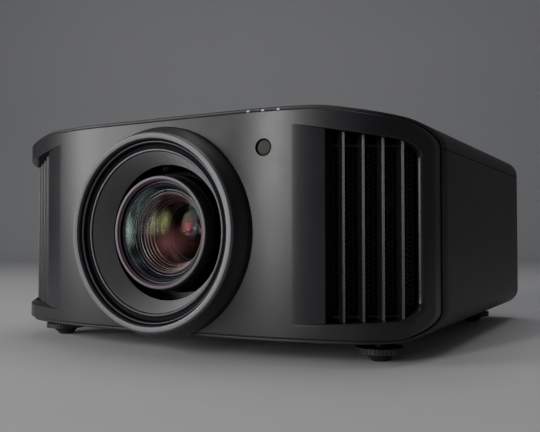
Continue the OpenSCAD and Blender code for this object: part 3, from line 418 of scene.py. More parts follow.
MAT = {
    "case": coated("case_plastic", (0.017, 0.017, 0.0195), 0.32, grain=0.22, grain_size=0.35, spread=0.05),
    "cover": coated("cover_plastic", (0.022, 0.021, 0.022), 0.46, grain=0.4, grain_size=0.5, spread=0.05),
    "rear": coated("rear_paint", (0.028, 0.028, 0.030), 0.5, grain=0.5, grain_size=0.5, edge=0.4),
    "ring": coated("ring_paint", (0.115, 0.116, 0.120), 0.34, grain=0.15, grain_size=0.3, metallic=0.4),
    "flank": coated("flank_paint", (0.018, 0.018, 0.020), 0.45, grain=0.2, grain_size=0.35),
    "trim": coated("trim_black", (0.004, 0.005, 0.008), 0.6, grain=0.15, grain_size=0.3, ior=1.2),
    "lip_line": coated("trim_line", (0.085, 0.086, 0.090), 0.34, grain=0.15, grain_size=0.3, metallic=0.4),
    "trap": coated("trap_black", (0.105, 0.100, 0.102), 0.42, grain=0.2, grain_size=0.3),
    "mesh": coated("mesh_black", (0.010, 0.010, 0.011), 0.55, grain=0.3, grain_size=0.4),
    "window": coated("window_dark", (0.044, 0.040, 0.031), 0.45, spread=0.04, ior=1.3, mottle=0.05),
    "pipe": coated("light_pipe", (0.62, 0.65, 0.70), 0.2, spread=0.04, mottle=0.03),
    "inner": coated("inner_black", (0.020, 0.020, 0.022), 0.6, grain=0.3, grain_size=0.5, edge=0.3),
    "steel": coated("zinc_steel", (0.50, 0.51, 0.53), 0.34, metallic=1.0, grain=0.1, grain_size=0.4,
                    streak=(1, 1, 0.1), edge=0.2),
    "plated": coated("plated_metal", (0.58, 0.58, 0.60), 0.25, metallic=1.0, grain=0.1, edge=0.2),
    "aluminium": coated("aluminium", (0.60, 0.61, 0.63), 0.38, metallic=1.0, grain=0.1, edge=0.3),
    "board": coated("solder_mask", (0.02, 0.12, 0.05), 0.35, grain=0.1, coat=0.3),
    "lens_black": coated("black_anodised", (0.004, 0.004, 0.005), 0.6, grain=0.2, ior=1.2),
    "lens_silver": coated("turned_silver", (0.100, 0.095, 0.099), 0.45, metallic=0.6, grain=0.2,
                          grain_size=0.25),
    "inner_ring": coated("inner_ring", (0.075, 0.080, 0.088), 0.32, metallic=0.8, grain=0.1),
    "lip": coated("magenta_edge", (0.16, 0.05, 0.12), 0.3, spread=0.04),
    "barrel": coated("barrel_black", (0.016, 0.016, 0.020), 0.3, grain=0.15, spread=0.08),
    "wine": coated("stained_black", (0.060, 0.016, 0.022), 0.32, spread=0.08, mottle=0.3),
    # Each glass's list of patches holds painted reflections and highlights: coloured spots that stand in for
    # light reflected in the lens elements.
    "glass_front": film_and_painted_reflections("front_coating_painted_reflections", (0.96, 0.97, 0.97), (0.55, 0.75, 0.70), 0.003, [
        ((-40.0, CELL_FRONT + 4, LENS_Z + 2), (8.0, 9.0, 26.0), (0.72, 0.90, 0.84), 0.42),
        ((-30.0, CELL_FRONT + 3, LENS_Z + 26), (14.0, 9.0, 16.0), (0.30, 0.45, 0.46), 0.07),
        ((-28.0, CELL_FRONT + 3, LENS_Z - 28), (14.0, 9.0, 12.0), (0.30, 0.36, 0.42), 0.07)]),
    "glass_second": film_and_painted_reflections("second_coating_painted_reflections", (0.93, 0.88, 0.86), (0.75, 0.70, 0.45), 0.005, [
        ((-2.0, CELL_FRONT + 18, LENS_Z - 10), (34.0, 20.0, 26.0), (0.60, 0.24, 0.24), 0.24),
        ((-31.0, CELL_FRONT + 21, LENS_Z + 2), (6.0, 10.0, 20.0), (0.95, 0.62, 0.66), 0.30),
        ((-22.0, CELL_FRONT + 18, LENS_Z + 10), (11.0, 14.0, 20.0), (0.70, 0.82, 0.40), 0.36),
        ((-14.0, CELL_FRONT + 16, LENS_Z + 5), (4.0, 8.0, 11.0), (0.90, 0.72, 0.66), 0.18),
        ((-5.0, CELL_FRONT + 15, LENS_Z + 11), (11.0, 14.0, 18.0), (0.72, 0.82, 0.34), 0.36)]),
    "glass_zoom": film_and_painted_reflections("zoom_coating_painted_reflections", (0.88, 0.76, 0.78), (0.80, 0.35, 0.50), 0.01, [
        ((-14.0, PAINTED_REFLECTION_Y + 1, LENS_Z + 3), (4.0, 6.0, 6.0), (0.95, 0.65, 0.66), 0.16),
        ((-8.0, PAINTED_REFLECTION_Y + 0.4, LENS_Z + 2), (2.2, 5.0, 2.2), (0.95, 0.25, 0.50), 0.6),
        ((-3.0, PAINTED_REFLECTION_Y, LENS_Z + 7), (16.0, 10.0, 15.0), (0.95, 0.12, 0.32), 0.85),
        ((0.0, PAINTED_REFLECTION_Y, LENS_Z - 12), (20.0, 8.0, 12.0), (0.50, 0.10, 0.14), 0.20),
        ((6.5, PAINTED_REFLECTION_Y + 1, LENS_Z + 5), (5.5, 8.0, 6.0), (0.05, 0.60, 0.50), 0.75)] + [
        ((-5.0 + 2.6 * i, PAINTED_REFLECTION_Y, LENS_Z - 2.6 + d), (1.3, 4.0, 1.3), colour, 0.95)
        for i, d, colour in ((0, 0.5, (0.3, 0.8, 0.7)), (1, 1.6, (0.5, 0.8, 0.9)), (2, 0.0, (0.3, 0.5, 0.95)),
                             (3, 1.0, (0.35, 0.4, 0.9)), (4, -0.4, (0.4, 0.5, 0.95)))]),
    # The rear element lets only a tenth of the light through, in dark red: painted shade for the dark depth
    # of the lens behind it. Its patch is a painted reflection.
    "glass_rear": film_and_painted_reflections("rear_coating_painted_shade_and_reflection", (0.10, 0.04, 0.05), (0.40, 0.30, 0.45), 0.02, [
        ((2.0, REAR_EDGE - 5, LENS_Z + 2), (8.0, 6.0, 8.0), (0.30, 0.10, 0.30), 0.3)]),
    "rubber": coated("foot_rubber", (0.018, 0.018, 0.019), 0.75, grain=0.5, grain_size=0.4),
    "foot": coated("foot_plastic", (0.024, 0.024, 0.026), 0.5, grain=0.4, grain_size=0.4),
    "key": coated("key_plastic", (0.06, 0.06, 0.064), 0.42, grain=0.3, grain_size=0.3, edge=0.3),
    "foam": coated("filter_cloth", (0.09, 0.09, 0.095), 0.9, grain=1.0, grain_size=0.9),
}


# ---------- Covers ----------


def cover_rows(section_of):
    """Rows of points across a cover's wall: rim, outer face and rear edge, then back along the inner face."""
    rows = []
    front = [(WALL, 0.7), (WALL - 0.35, 0.12), (WALL - 0.9, 0.0), (1.0, 0.0), (0.45, 0.15),
             (0.15, 0.45), (0.0, 1.0)]
    for inset, back in front:
        rows.append([(x, front_at(x, RIM_BACK + back), z) for x, z in section_of(inset)])
    outer = section_of(0.0)
    starts = [front_at(x, RIM_BACK + 1.0) for x, z in outer]
    ends = [rear_at(x) - 0.7 for x, z in outer]
    for share in (0.004, 0.03, 0.08, 0.16, 0.28, 0.42, 0.58, 0.74, 0.88, 0.96, 0.99, 1.0):
        rows.append([(p[0], a + (b - a) * share, p[1]) for p, a, b in zip(outer, starts, ends)])
    for inset, drop in ((0.2, 0.2), (0.7, 0.0), (1.3, 0.0), (2.0, 0.0), (2.6, 0.0), (WALL, 0.0)):
        rows.append([(x, rear_at(x) - drop, z) for x, z in section_of(inset)])
    inner = section_of(WALL)
    for share in (0.96, 0.5, 0.04):
        rows.append([(x, front_at(x, RIM_BACK + 1) + (rear_at(x) - front_at(x, RIM_BACK + 1)) * share, z)
                     for x, z in inner])
    return rows


def cover(name, section_of, material):
    """A cover whose rows close on themselves, with rounded edges along the joint between covers."""
    build = Build()
    rows = cover_rows(section_of)
    build.grid(rows, ring=True)
    for side in (0, -1):
        build.cap([row[side] for row in rows])
    return piece(name, build.points, build.faces, material, nodes=[name], sharp=40)


def make_covers():
    def upper(inset):
        line = upper_section(inset, SEAM_Z)
        return joint_edge(line, inset, 1)

    def lower(inset):
        line = lower_section(inset, SEAM_Z - GAP)
        return joint_edge(line, inset, -1)

    cover("top_cover", upper, MAT["cover"])
    cover("lower_case", lower, MAT["cover"])


def joint_edge(line, inset, way):
    """Adds a small rounding to both ends of a section line, so that the joint's edge catches light."""
    if inset > 0.01:
        return [line[0]] + [(line[0][0], line[0][1] + way * d) for d in (0.12, 0.45)] + line[1:-1] + [
            (line[-1][0], line[-1][1] + way * d) for d in (0.45, 0.12)] + [line[-1]]
    first, last = line[0], line[-1]
    sign = 1 if first[0] > 0 else -1
    head = [(first[0] - sign * 0.45, first[1]), (first[0] - sign * 0.12, first[1] + way * 0.12),
            (first[0], first[1] + way * 0.45)]
    tail = [(last[0], last[1] + way * 0.45), (last[0] + sign * 0.12, last[1] + way * 0.12),
            (last[0] + sign * 0.45, last[1])]
    return head + line[1:-1] + tail


# ---------- Front panel ----------


def vent_floor_z(x):
    return VENT_LOW + (x - VENT_START) * VENT_RISE


def vent_top_z(x):
    return VENT_HIGH - (x - VENT_START) * math.tan(SLOPE)


def louver_y(x):
    """Y of the straight plane that the fins' front edges lie on."""
    return front_at(VENT_OPEN) + LOUVER_BACK + (x - VENT_OPEN) * FIN_RECEDE / FIN_PITCH


def vent_depth(x):
    """Depth of the vent's recess at x: a floor that leaves the face without an edge, then the opening."""
    if x <= VENT_START:
        return 0.0
    if x <= VENT_OPEN:
        return FLOOR_DEPTH * ((x - VENT_START) / (VENT_OPEN - VENT_START)) ** FLOOR_POWER
    back = louver_y(x) + MESH_DEPTH - 0.4 - front_at(x)
    return min(FLOOR_DEPTH + 30 * (x - VENT_OPEN), max(back, 11.0))


def vent_line(out):
    """Open line along the vent's lower edge, round its outer end and back along the upper, wider by out."""
    cx = VENT_END - VENT_CORNER_R
    top = corner_z((VENT_START, VENT_HIGH), cx, VENT_CORNER_R)
    low = vent_floor_z(cx) + VENT_CORNER_R
    xs = [VENT_START + (cx - VENT_START) * i / 40 for i in range(40)]
    lower = [(x, vent_floor_z(x) - out) for x in xs]
    upper = [(x, vent_top_z(x) + out) for x in reversed(xs)]
    side = [(VENT_END + out, low + (top - low) * i / 24) for i in range(1, 24)]
    return (lower + arc(cx, low, VENT_CORNER_R + out, -90, 0, 14) + side
            + arc(cx, top, VENT_CORNER_R + out, 0, 90 - math.degrees(SLOPE), 14) + upper)


def side_table():
    """Arc length along the front outline for even steps of x."""
    step, xs, total = 0.25, [0.0], [0.0]
    while xs[-1] < CREASE_X:
        x = min(CREASE_X, xs[-1] + step)
        total.append(total[-1] + math.hypot(x - xs[-1], front_at(x) - front_at(xs[-1])))
        xs.append(x)
    return xs, total


ALONG_X, ALONG_S = side_table()


def look_up(value, keys, values):
    """Linear interpolation in a rising table."""
    value = max(keys[0], min(keys[-1], value))
    lo, hi = 0, len(keys) - 1
    while hi - lo > 1:
        mid = (lo + hi) // 2
        if keys[mid] <= value:
            lo = mid
        else:
            hi = mid
    span = keys[hi] - keys[lo]
    share = (value - keys[lo]) / span if span else 0.0
    return values[lo] + (values[hi] - values[lo]) * share


def to_s(x):
    return math.copysign(look_up(abs(x), ALONG_X, ALONG_S), x)


def to_x(s):
    return math.copysign(look_up(abs(s), ALONG_S, ALONG_X), s)


def inside(point, loop):
    """True if a point lies inside a closed loop."""
    x, y = point
    odd = False
    for (x0, y0), (x1, y1) in zip(loop, loop[1:] + loop[:1]):
        if (y0 > y) != (y1 > y) and x < (x1 - x0) * (y - y0) / (y1 - y0) + x0:
            odd = not odd
    return odd


def near(point, loop, reach):
    return any(abs(point[0] - a) < reach and abs(point[1] - b) < reach for a, b in loop)


def fill_face(build, outer, holes):
    """Triangulates the panel's face between loops of (x, z) points, along its curved outline."""
    loops = [[(to_s(x), z) for x, z in loop] for loop in [outer] + holes]
    grid = []
    s_end, s_step, z_step = ALONG_S[-1], 5.0, 7.0
    count = int(s_end / s_step)
    for i in range(-count, count + 1):
        for j in range(40):
            p = (i * s_step + (j % 2) * 0.5 * s_step, LOW_Z + j * z_step)
            if inside(p, loops[0]) and not near(p, loops[0], 2.5):
                if not any(inside(p, h) or near(p, h, 2.5) for h in loops[1:]):
                    grid.append(p)
    points, edges = list(grid), []
    for loop in loops:
        base = len(points)
        points.extend(loop)
        edges.extend((base + i, base + (i + 1) % len(loop)) for i in range(len(loop)))
    made, _, faces, _, _, _ = delaunay_2d_cdt([Vector(p) for p in points], edges, [], 0, 1e-6)
    kept = []
    for f in faces:
        c = sum((made[i] for i in f), Vector((0, 0))) / len(f)
        if inside(tuple(c), loops[0]) and not any(inside(tuple(c), h) for h in loops[1:]):
            kept.append(f)
    base = len(build.points)
    for p in made:
        x = to_x(p.x)
        build.points.append((x, front_at(x), p.y))
    build.faces.extend(tuple(base + i for i in f) for f in kept)


def panel_rim(build):
    """The panel's rounded outer edge and its skirt inside the covers. Returns the face's outer loop."""
    r, support = 1.3, 0.5
    rows = []
    for angle in (0, 15, 30, 45, 60, 75, 90):
        a = math.radians(angle)
        line = full_section(INSET + r * (1 - math.sin(a)))
        rows.append([(x, front_at(x, r * (1 - math.cos(a))), z) for x, z in line])
    face = full_section(INSET + r + support)
    rows.insert(0, [(x, front_at(x), z) for x, z in face])
    line = full_section(INSET)
    starts = [front_at(x, r) for x, z in line]
    ends = [a + LIP_REACH if z < LIP_TOP else SKIRT_Y for (x, z), a in zip(line, starts)]
    for share in (0.02, 0.2, 0.6, 1.0):
        rows.append([(p[0], a + (b - a) * share, p[1]) for p, a, b in zip(line, starts, ends)])
    inner = full_section(INSET + WALL)
    rows.append([(p[0], b, p[1]) for p, b in zip(inner, ends)])
    rows.append([(x, front_at(x, WALL), z) for x, z in inner])
    build.grid(rows, loop=True)
    return face


def vent_rim(build, side):
    """The vent's rounded edge, its walls and its sloped floor. Returns the face's loop round the vent.

    The wall at the outer end starts with a ledge that faces forwards, and the others run straight back."""
    edge, out = vent_line(0.0), vent_line(1.0)
    normals = [q[0] - p[0] for p, q in zip(edge, out)]

    def wall(share, least=0.0):
        made = []
        for (x, z), nx in zip(edge, normals):
            depth = vent_depth(x) * (1 - 0.3 * nx)
            deep = max(min(least, depth), depth * share)
            reach = nx * (LEDGE * (1 - math.exp(-deep / 0.7)) + 0.12 * deep)
            made.append((side * (x - reach), front_at(x) + deep * (1 - 0.15 * nx), z))
        return made

    start = [(side * x, front_at(x), z) for x, z in out]
    bend = [(side * x, front_at(x), z) for x, z in edge]
    end = wall(0.0, 1.3)
    rows = []
    for i in range(7):
        t = i / 6
        a, b, c = (1 - t) ** 2, 2 * t * (1 - t), t * t
        rows.append([tuple(a * p[k] + b * q[k] + c * w[k] for k in range(3))
                     for p, q, w in zip(start, bend, end)])
    rows += [wall(0.0, 2.2), wall(0.4, 2.6), wall(0.7, 3.0), wall(1.0)]
    build.grid(rows)
    floor = [VENT_START + (VENT_OPEN - VENT_START) * i / 30 for i in range(31)]
    floor += [VENT_OPEN + d for d in (0.02, 0.06, 0.12, 0.25, 0.45)]
    cols = []
    for x in floor:
        low, top = vent_floor_z(x), vent_top_z(x)
        cols.append([(side * x, front_at(x) + vent_depth(x), low + (top - low) * j / 24) for j in range(25)])
    build.grid(cols)
    seam = [(side * (VENT_START - 0.6), front_at(VENT_START - 0.6), z) for _, _, z in cols[0]]
    seam[0] = (seam[0][0], seam[0][1], vent_floor_z(VENT_START) - 1.0)
    seam[-1] = (seam[-1][0], seam[-1][1], vent_top_z(VENT_START) + 1.0)
    build.grid([seam, cols[0]])
    corner_low = (side * VENT_START, front_at(VENT_START), vent_floor_z(VENT_START) - 1.0)
    build.faces.append(add_points(build, [seam[0], corner_low, cols[0][0]]))
    corner_top = (side * VENT_START, front_at(VENT_START), vent_top_z(VENT_START) + 1.0)
    build.faces.append(add_points(build, [seam[-1], corner_top, cols[0][-1]]))
    return [(side * x, z) for x, z in out] + [(side * (VENT_START - 0.6), z) for _, _, z in reversed(seam)]


def add_points(build, points):
    """Adds loose points and returns their numbers."""
    base = len(build.points)
    build.points.extend(points)
    return tuple(range(base, base + len(points)))


def round_hole(build, x, z, r, edge, depth, steps):
    """A round hole with a rounded edge. Returns the face's loop round it."""
    loop = []
    for i in range(steps):
        a = 2 * math.pi * i / steps
        loop.append((math.cos(a), math.sin(a)))
    rows = [[(x + (r + edge + 0.5) * c, 0.0, z + (r + edge + 0.5) * s) for c, s in loop]]
    for angle in (0, 22, 45, 67, 90):
        a = math.radians(angle)
        rr = r + edge * (1 - math.sin(a))
        rows.append([(x + rr * c, edge * (1 - math.cos(a)), z + rr * s) for c, s in loop])
    rows.append([(x + r * c, depth, z + r * s) for c, s in loop])
    build.grid([[(px, front_at(px) + d, pz) for px, d, pz in row] for row in rows], loop=True)
    return [(px, pz) for px, _, pz in rows[0]]


def make_front_panel():
    build = Build()
    outer = panel_rim(build)
    holes = [vent_rim(build, 1), vent_rim(build, -1),
             round_hole(build, 0.0, LENS_Z, 98.0, 0.5, WALL, 160),
             round_hole(build, IR_X, IR_Z, 7.4, 0.8, WALL, 48)]
    fill_face(build, outer, holes)
    piece("front_panel", build.points, build.faces, MAT["case"], nodes=["front_panel"],
          sharp=38)


# ---------- Vents ----------


def vent_span(x):
    """Lowest and highest z of the vent at x, with its rounded outer corners."""
    over = x - (VENT_END - VENT_CORNER_R)
    cut = VENT_CORNER_R - math.sqrt(max(0.0, VENT_CORNER_R**2 - over * over)) if over > 0 else 0.0
    return vent_floor_z(x) + cut, vent_top_z(x) - cut


def make_fins(side, node):
    """Leaning fins with a bevelled front edge, and the two bars that hold them."""
    build = Build()
    half = FIN_THICK / 2
    flat = [(0.0, -half), (FIN_DEEP, -half), (FIN_DEEP, half), (3.2 * half, half)]
    shape = filleted(flat, [0.3, 0.4, 0.4, 0.6])
    c, s = math.cos(FIN_LEAN), math.sin(FIN_LEAN)
    for i in range(FIN_COUNT):
        x = FIRST_FIN + FIN_PITCH * i
        y = louver_y(x)
        rows = []
        for share in (0.0, 0.25, 0.5, 0.75, 1.0):
            row = []
            for u, v in shape:
                px, py = x + u * c - v * s, y + u * s + v * c
                low, top = vent_span(px)
                row.append((side * px, py, low + 0.4 + (top - low - 0.8) * share))
            rows.append(row)
        build.solid(rows)
    for z in BAR_PLACES:
        rows = []
        for x in (VENT_OPEN + 0.7, 227.8):
            front, back, top = louver_y(x) + 14.2, louver_y(x) + 15.8, z + BAR_SIDE
            rows.append([(side * x, y, h) for y, h in ((front, z), (back, z), (back, top), (front, top))])
        build.solid(rows)
    piece(node, build.points, build.faces, MAT["case"], nodes=[node])


def make_meshes():
    """Sheets with hexagonal holes behind the fins, on a straight slanted plane parallel to the fins' front
    edges.
    """
    build = Build()
    cell, bar, low_x, high_x = 4.4, 0.75, 158.5, 232.5
    x_step = cell * math.sqrt(3) / 2
    corners = [(math.cos(math.radians(60 * k)), math.sin(math.radians(60 * k))) for k in range(6)]
    for side in (1, -1):
        for i in range(int((high_x - low_x) / x_step)):
            cx = low_x + cell / 2 + i * x_step
            low, top = vent_span(cx)
            for j in range(40):
                cz = 38 + j * cell + (i % 2) * cell / 2
                if not low + cell * 0.6 < cz < top - cell * 0.6:
                    continue
                wide = [(cx + cell / math.sqrt(3) * a, cz + cell / math.sqrt(3) * b) for a, b in corners]
                slim = [(cx + (cell - bar) / math.sqrt(3) * a, cz + (cell - bar) / math.sqrt(3) * b)
                        for a, b in corners]
                rows = []
                far = MESH_DEPTH + MESH_THICK
                for ring, depth in ((wide, MESH_DEPTH), (slim, MESH_DEPTH), (slim, far), (wide, far)):
                    rows.append([(side * x, louver_y(x) + depth, z) for x, z in ring])
                build.grid(rows, loop=True, ring=True)
    piece("vent_meshes", build.points, build.faces, MAT["mesh"], nodes=["vent_meshes"])


def make_rear_sheets():
    """Dust cloth inside the rear intake and a thin plate round the rear sockets."""
    front, back = REAR_Y - 7.0, REAR_Y - 6.2
    for name, x, z in (("intake_cloth", (-119.0, 219.0), (119.0, 205.0)),
                       ("socket_plate", (-112.0, 100.0), (50.0, 74.0))):
        build = Build()
        build.box((x[0], front, z[0]), (x[1], back, z[1]), 0.1)
        piece(name, build.points, build.faces, MAT["mesh"])


# ---------- Lens surround ----------


def make_lens_ring():
    build = Build()
    profile = filleted([
        (FOOT_R, FRONT_Y + 2.6), (FOOT_R, FRONT_Y - 1.0), (FOOT_R - 1.0, FRONT_Y - 5),
        (RIM_R + 3.4, RING_Y + 8), (RIM_R + 1.4, RING_Y + 2.2), (RIM_R, RING_Y + 0.1),
        (RIM_R - 4.8, RING_Y + 0.6), (RIM_R - 5.6, RING_Y + 3),
        (RIM_R - 6.6, RING_Y + 9), (RIM_R - 7, RING_Y + 12), (RIM_R - 7, FRONT_Y + 2.6)],
        [0.3, 0.5, 2, 4, 1.2, 0.9, 0.5, 0.8, 2, 2, 0.4], 5)
    build.turned(profile, (0.0, LENS_Z), 192)
    ring = piece("lens_ring", build.points, build.faces, MAT["flank"], nodes=["lens_ring"])
    ring.data.materials.append(MAT["ring"])
    for face in ring.data.polygons:
        c = face.center
        r = math.hypot(c.x, c.z - LENS_Z * MM) / MM
        if c.y / MM < RING_Y + 2.2 and r > RIM_R - 5.8:
            face.material_index = 1


def make_ring_trim():
    build = Build()
    profile = filleted([
        (88.4, RING_Y + 5.4), (87.4, RING_Y + 5.2), (86.6, RING_Y + 6.4), (85.6, RING_Y + 10),
        (82.0, RING_Y + 10.8), (80.9, RING_Y + 9.2), (79.4, RING_Y + 9.2), (78.9, RING_Y + 10.4),
        (78.9, RING_Y + 14), (88.2, RING_Y + 14)],
        [0.3, 0.4, 0.6, 1.2, 0.8, 0.5, 0.5, 0.3, 0.2, 0.2], 4)
    build.turned(profile, (0.0, LENS_Z), 192)
    trim = piece("ring_trim", build.points, build.faces, MAT["trim"], nodes=["ring_trim"])
    trim.data.materials.append(MAT["lip_line"])
    for face in trim.data.polygons:
        r = math.hypot(face.center.x, face.center.z - LENS_Z * MM) / MM
        if face.center.y / MM < RING_Y + 10.2 and (r < 81.4 or r > 86.9):
            face.material_index = 1


def make_light_trap():
    """A cone with fine turned steps that falls away towards the lens."""
    build = Build()
    ribs, out_r, in_r, front, back = 24, 78.3, 67.5, RING_Y + 10.8, RING_Y + 30
    profile = []
    for i in range(ribs):
        r0, r1 = (out_r - (out_r - in_r) * k / ribs for k in (i, i + 1))
        y0, y1 = (front + (back - front) * k / ribs for k in (i, i + 1))
        profile += [(r0, y0), (r0 - (r0 - r1) * 0.2, y0 + (y1 - y0) * 0.75), (r1 + 0.05, y1 - 0.15)]
    profile += [(in_r, back), (in_r, back + 1.2), (in_r + 2, back + 1.4), (out_r + 0.2, front + 5.5),
                (out_r + 0.2, front)]
    build.turned(profile, (0.0, LENS_Z), 192)
    piece("light_trap", build.points, build.faces, MAT["trap"], nodes=["light_trap"],
          sharp=30)


# ---------- Lens ----------


def lens_element(name, r, y_edge, bulge, thick, material, body, node):
    """A lens element with a domed front and a flat back."""
    build = Build()
    dome = [(r * i / 16, y_edge - bulge * (1 - (i / 16) ** 2)) for i in range(17)]
    build.turned(dome + [(r, y_edge + thick), (0.0, y_edge + thick)], (0.0, LENS_Z), 96)
    piece(name, build.points, build.faces, material, body, nodes=[node], sharp=40)


def lens_tube(name, profile, radii, material, body, node):
    """A turned part of the lens from points of (radius, y), with rounded edges."""
    build = Build()
    build.turned(filleted(profile, radii, 3), (0.0, LENS_Z), 160)
    return piece(name, build.points, build.faces, material, body, nodes=[node], sharp=32)


def retaining_ring(name, r_in, r_out, y, thick, notches, body, node):
    """A flat ring with small notches that a spanner turns."""
    build = Build()
    cuts = [math.radians(a) for a in notches]
    angles = sorted({2 * math.pi * i / 144 for i in range(144)} | {(a + d) % (2 * math.pi) for a in cuts
                                                                   for d in (-0.021, -0.02, 0.02, 0.021)})
    rows = []
    for a in angles:
        cut = any(abs((a - b + math.pi) % (2 * math.pi) - math.pi) < 0.0205 for b in cuts)
        top = y + 0.9 if cut else y
        profile = [(r_in, top + 0.25), (r_in + 0.25, top), (r_out - 0.25, top), (r_out, top + 0.25),
                   (r_out, y + thick), (r_in, y + thick)]
        rows.append([(r * math.cos(a), t, LENS_Z + r * math.sin(a)) for r, t in profile])
    build.grid(rows, loop=True, ring=True)
    piece(name, build.points, build.faces, MAT["inner_ring"], body, nodes=[node])


def make_front_cell():
    """The silver ring, its dark barrel that steps inwards, the retaining rings and the two front elements."""
    body, node, c = "front_group", "front_group", CELL_FRONT
    lens_tube("front_cell", [(CELL_R - 0.7, c), (CELL_R, c + 0.9), (CELL_R, c + 34), (CELL_R - 5, c + 34),
                             (CELL_R - 5, c + 23), (CELL_R - 3.6, c + 23), (CELL_R - 3.6, c + 2.2),
                             (CELL_R - 4.0, c + 0.9), (CELL_R - 3.4, c)],
              [0.5, 0.6, 0.3, 0.3, 0.2, 0.2, 0.3, 0.5, 0.5], MAT["lens_silver"], body, node)
    lens_tube("cell_lip", [(CELL_R - 4.2, c + 1.6), (CELL_R - 4.9, c + 2.4), (CELL_R - 4.9, c + 3.4),
                           (CELL_R - 3.7, c + 3.4), (CELL_R - 3.7, c + 1.8)],
              0.15, MAT["lip"], body, node)
    lens_tube("cell_barrel", [(CELL_R - 3.8, c + 6), (49.0, c + 6), (48.6, c + 8), (46.4, c + 9),
                              (45.2, c + 13), (44.0, c + 14.2), (43.8, c + 22), (CELL_R - 5.2, c + 22),
                              (CELL_R - 5.2, c + 17)],
              0.25, MAT["barrel"], body, node)
    retaining_ring("retaining_ring_outer", 42.0, 43.7, c + 16.0, 4.0, (96, 262), body, node)
    retaining_ring("retaining_ring_inner", 39.4, 40.9, c + 18.2, 3.6, (84, 277), body, node)
    steps, r, y = [], 38.9, c + 17.5
    for width, drop in ((1.2, 2.2), (1.6, 3.4), (1.2, 2.4), (2.0, 3.2), (1.6, 3.0)):
        steps += [(r, y), (r - 0.1, y + drop), (r - width, y + drop + 0.3)]
        r, y = r - width, y + drop + 0.3
    lens_tube("inner_steps", steps + [(r, c + 34), (43.4, c + 34), (43.4, c + 22.4), (41.2, c + 22.4),
                                      (41.2, c + 17.5)],
              0.2, MAT["wine"], body, node)
    lens_element("front_glass", CELL_R - 4.2, c + 5.6, 7.6, 1.0, MAT["glass_front"], body, "front_glass")
    lens_element("second_glass", 38.6, c + 24, 9.0, 1.0, MAT["glass_second"], body, "front_glass")


def make_zoom_cell():
    """The moving inner cell: a stepped dark ring round an element, with an aperture ring behind it."""
    body, node = "zoom_group", "zoom_group"
    lens_tube("zoom_cell", [(43.8, -187.8), (43.8, -168.2), (24.0, -168.2), (24.0, -170.0), (29.6, -170.0),
                            (29.8, -180.0), (30.6, -184.6), (34.0, -186.0), (38.0, -187.8)],
              0.3, MAT["wine"], body, node)
    lens_tube("zoom_lip", [(29.5, -183.0), (29.5, -181.4), (27.6, -181.4), (27.4, -182.2), (27.8, -183.0)],
              0.2, MAT["inner_ring"], body, node)
    lens_element("zoom_glass", 29.4, ZOOM_EDGE, 8.0, 1.2, MAT["glass_zoom"], body, node)
    lens_tube("aperture_ring", [(29.4, -178.0), (29.4, -176.8), (14.0, -176.8), (13.7, -177.4),
                                (14.0, -178.0)],
              0.2, MAT["wine"], body, node)
    lens_element("rear_glass", 23.8, REAR_EDGE, 6.0, 0.8, MAT["glass_rear"], body, node)


def make_windows():
    """Receiver windows, slightly domed, in front and behind."""
    build = Build()
    turn = [(math.cos(2 * math.pi * k / 48), math.sin(2 * math.pi * k / 48)) for k in range(48)]
    dome = [(7.0, 3.0), (7.0, 0.7), (6.8, 0.3), (6.3, 0.1), (4.5, -0.05), (2.5, -0.15), (0.01, -0.2)]
    for x, z, y, way in ((IR_X, IR_Z, front_at(IR_X) + 1.0, 1),
                         (REAR_IR_X, REAR_IR_Z, REAR_Y - REAR_IR_BACK, -1)):
        rows = [[(x + r * a, y + way * d, z + r * b) for a, b in turn] for r, d in dome]
        build.grid(rows, loop=True)
        build.cap(rows[0])
    piece("ir_windows", build.points, build.faces, MAT["window"], nodes=["ir_windows"])


def make_lights():
    build = Build()
    for x in LIGHT_PLACES:
        y = front_at(x)
        build.box((x - LIGHT_HALF, y + 0.5, LIGHT_LOW), (x + LIGHT_HALF, y + 8, LIGHT_HIGH), 0.6, axis=1)
    piece("indicator_lights", build.points, build.faces, MAT["pipe"], nodes=["indicator_lights"])


make_covers()
make_rear_sheets()
make_front_panel()
make_fins(1, "right_vent_fins")
make_fins(-1, "left_vent_fins")
make_meshes()
make_lens_ring()
make_ring_trim()
make_light_trap()
make_front_cell()
make_zoom_cell()
make_windows()
make_lights()


# ---------- CAD nodes that keep their own mesh ----------


def finish_nodes(material, *names):
    """Gives a material to each CAD node that is still shown."""
    for name in names:
        node = NODES[name]
        if not node.hide_render:
            node.data.materials.clear()
            node.data.materials.append(material)


finish_nodes(MAT["rear"], "rear_panel")
finish_nodes(MAT["plated"], "rear_terminals")
finish_nodes(MAT["inner"], "ac_inlet", "intake_grille", "exhaust_ducts", "fan_frames",
             "left_exhaust_fan", "right_exhaust_fan", "blower_wheel", "filter_tray")
finish_nodes(MAT["steel"], "case_screws", "chassis", "v_shift_motor", "v_shift_screw", "h_shift_screw",
             "h_shift_motor", "focus_pinion", "zoom_pinion", "lens_motors")
finish_nodes(MAT["aluminium"], "light_source", "heat_sink", "lens_guide", "v_stage", "h_stage")
finish_nodes(MAT["board"], "imaging_panels", "power_supply", "main_board")
finish_nodes(MAT["lens_black"], "optical_block", "lens_barrel", "focus_ring", "zoom_ring")
finish_nodes(MAT["foam"], "filter_mesh")
finish_nodes(MAT["rubber"], *[n for n in NODES if n.startswith("foot_tip_")])
finish_nodes(MAT["foot"], *[n for n in NODES if n.startswith("foot_screw_")])
finish_nodes(MAT["key"], *[n for n in NODES if n.endswith("_key")])


# ---------- Stage, light and camera ----------


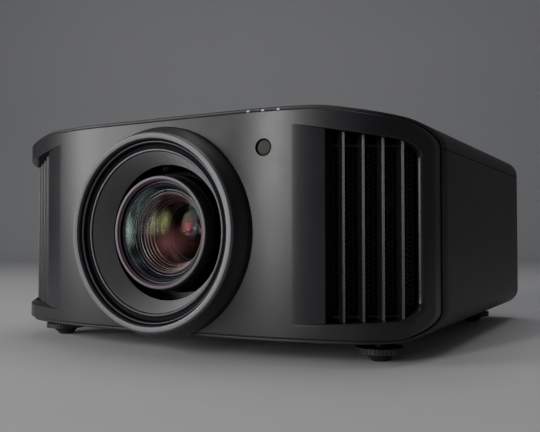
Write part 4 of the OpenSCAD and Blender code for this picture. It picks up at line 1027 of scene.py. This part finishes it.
def make_stage():
    """Pale paper that lies flat and curves up behind the part, in metres."""
    mesh = bpy.data.meshes.new("floor")
    rows, faces = [], []
    start, r = 2.6, 1.6
    turns = [math.pi / 2 * i / 16 for i in range(1, 17)]
    profile = [(-4.0, 0.0), (start, 0.0)]
    profile += [(start + r * math.sin(a), r - r * math.cos(a)) for a in turns]
    profile.append((start + r, 6.0))
    turn = Matrix.Rotation(math.radians(28.9), 4, "Z")
    for u in (-6.0, 6.0):
        rows += [turn @ Vector((u, y, z)) for y, z in profile]
    n = len(profile)
    faces = [(i, i + 1, n + i + 1, n + i) for i in range(n - 1)]
    mesh.from_pydata(rows, [], faces)
    mesh.shade_smooth()
    mesh.materials.append(coated("paper", (0.70, 0.70, 0.71), 0.7, grain=0.1, grain_size=1.5, mottle=0.02))
    ob = bpy.data.objects.new("floor", mesh)
    bpy.context.scene.collection.objects.link(ob)


def area_light(name, place, aim, size, power, colour=(1, 1, 1)):
    data = bpy.data.lights.new(name, "AREA")
    data.shape = "RECTANGLE"
    data.size, data.size_y = size
    data.energy = power
    data.color = colour
    ob = bpy.data.objects.new(name, data)
    bpy.context.scene.collection.objects.link(ob)
    ob.location = place
    ob.rotation_euler = (Vector(aim) - Vector(place)).to_track_quat("-Z", "Y").to_euler()
    return ob


def make_lights_and_camera():
    area_light("key_light", (-0.40, -2.45, 0.62), (0.0, -0.23, 0.14), (0.32, 1.1), 21)
    area_light("left_light", (-1.85, -1.75, 0.62), (0.0, -0.23, 0.14), (0.9, 1.1), 24)
    area_light("top_light", (0.1, 0.25, 2.2), (0, 0.0, 0.1), (1.6, 1.2), 9)
    world = bpy.data.worlds.new("studio")
    world.use_nodes = True
    world.node_tree.nodes["Background"].inputs["Color"].default_value = (0.75, 0.77, 0.8, 1)
    world.node_tree.nodes["Background"].inputs["Strength"].default_value = 0.11
    bpy.context.scene.world = world
    data = bpy.data.cameras.new("camera")
    data.sensor_width = 36.0
    data.lens = 703.7 / 540 * 36
    data.shift_x, data.shift_y = -7.0 / 540, 6.1 / 540
    data.clip_start, data.clip_end = 0.05, 30
    ob = bpy.data.objects.new("camera", data)
    bpy.context.scene.collection.objects.link(ob)
    ob.location = (0.4351, -0.7879, 0.1145)
    ob.rotation_euler = (math.radians(90 + 1.28), math.radians(0.1), math.radians(28.93))
    bpy.context.scene.camera = ob


make_stage()
make_lights_and_camera()
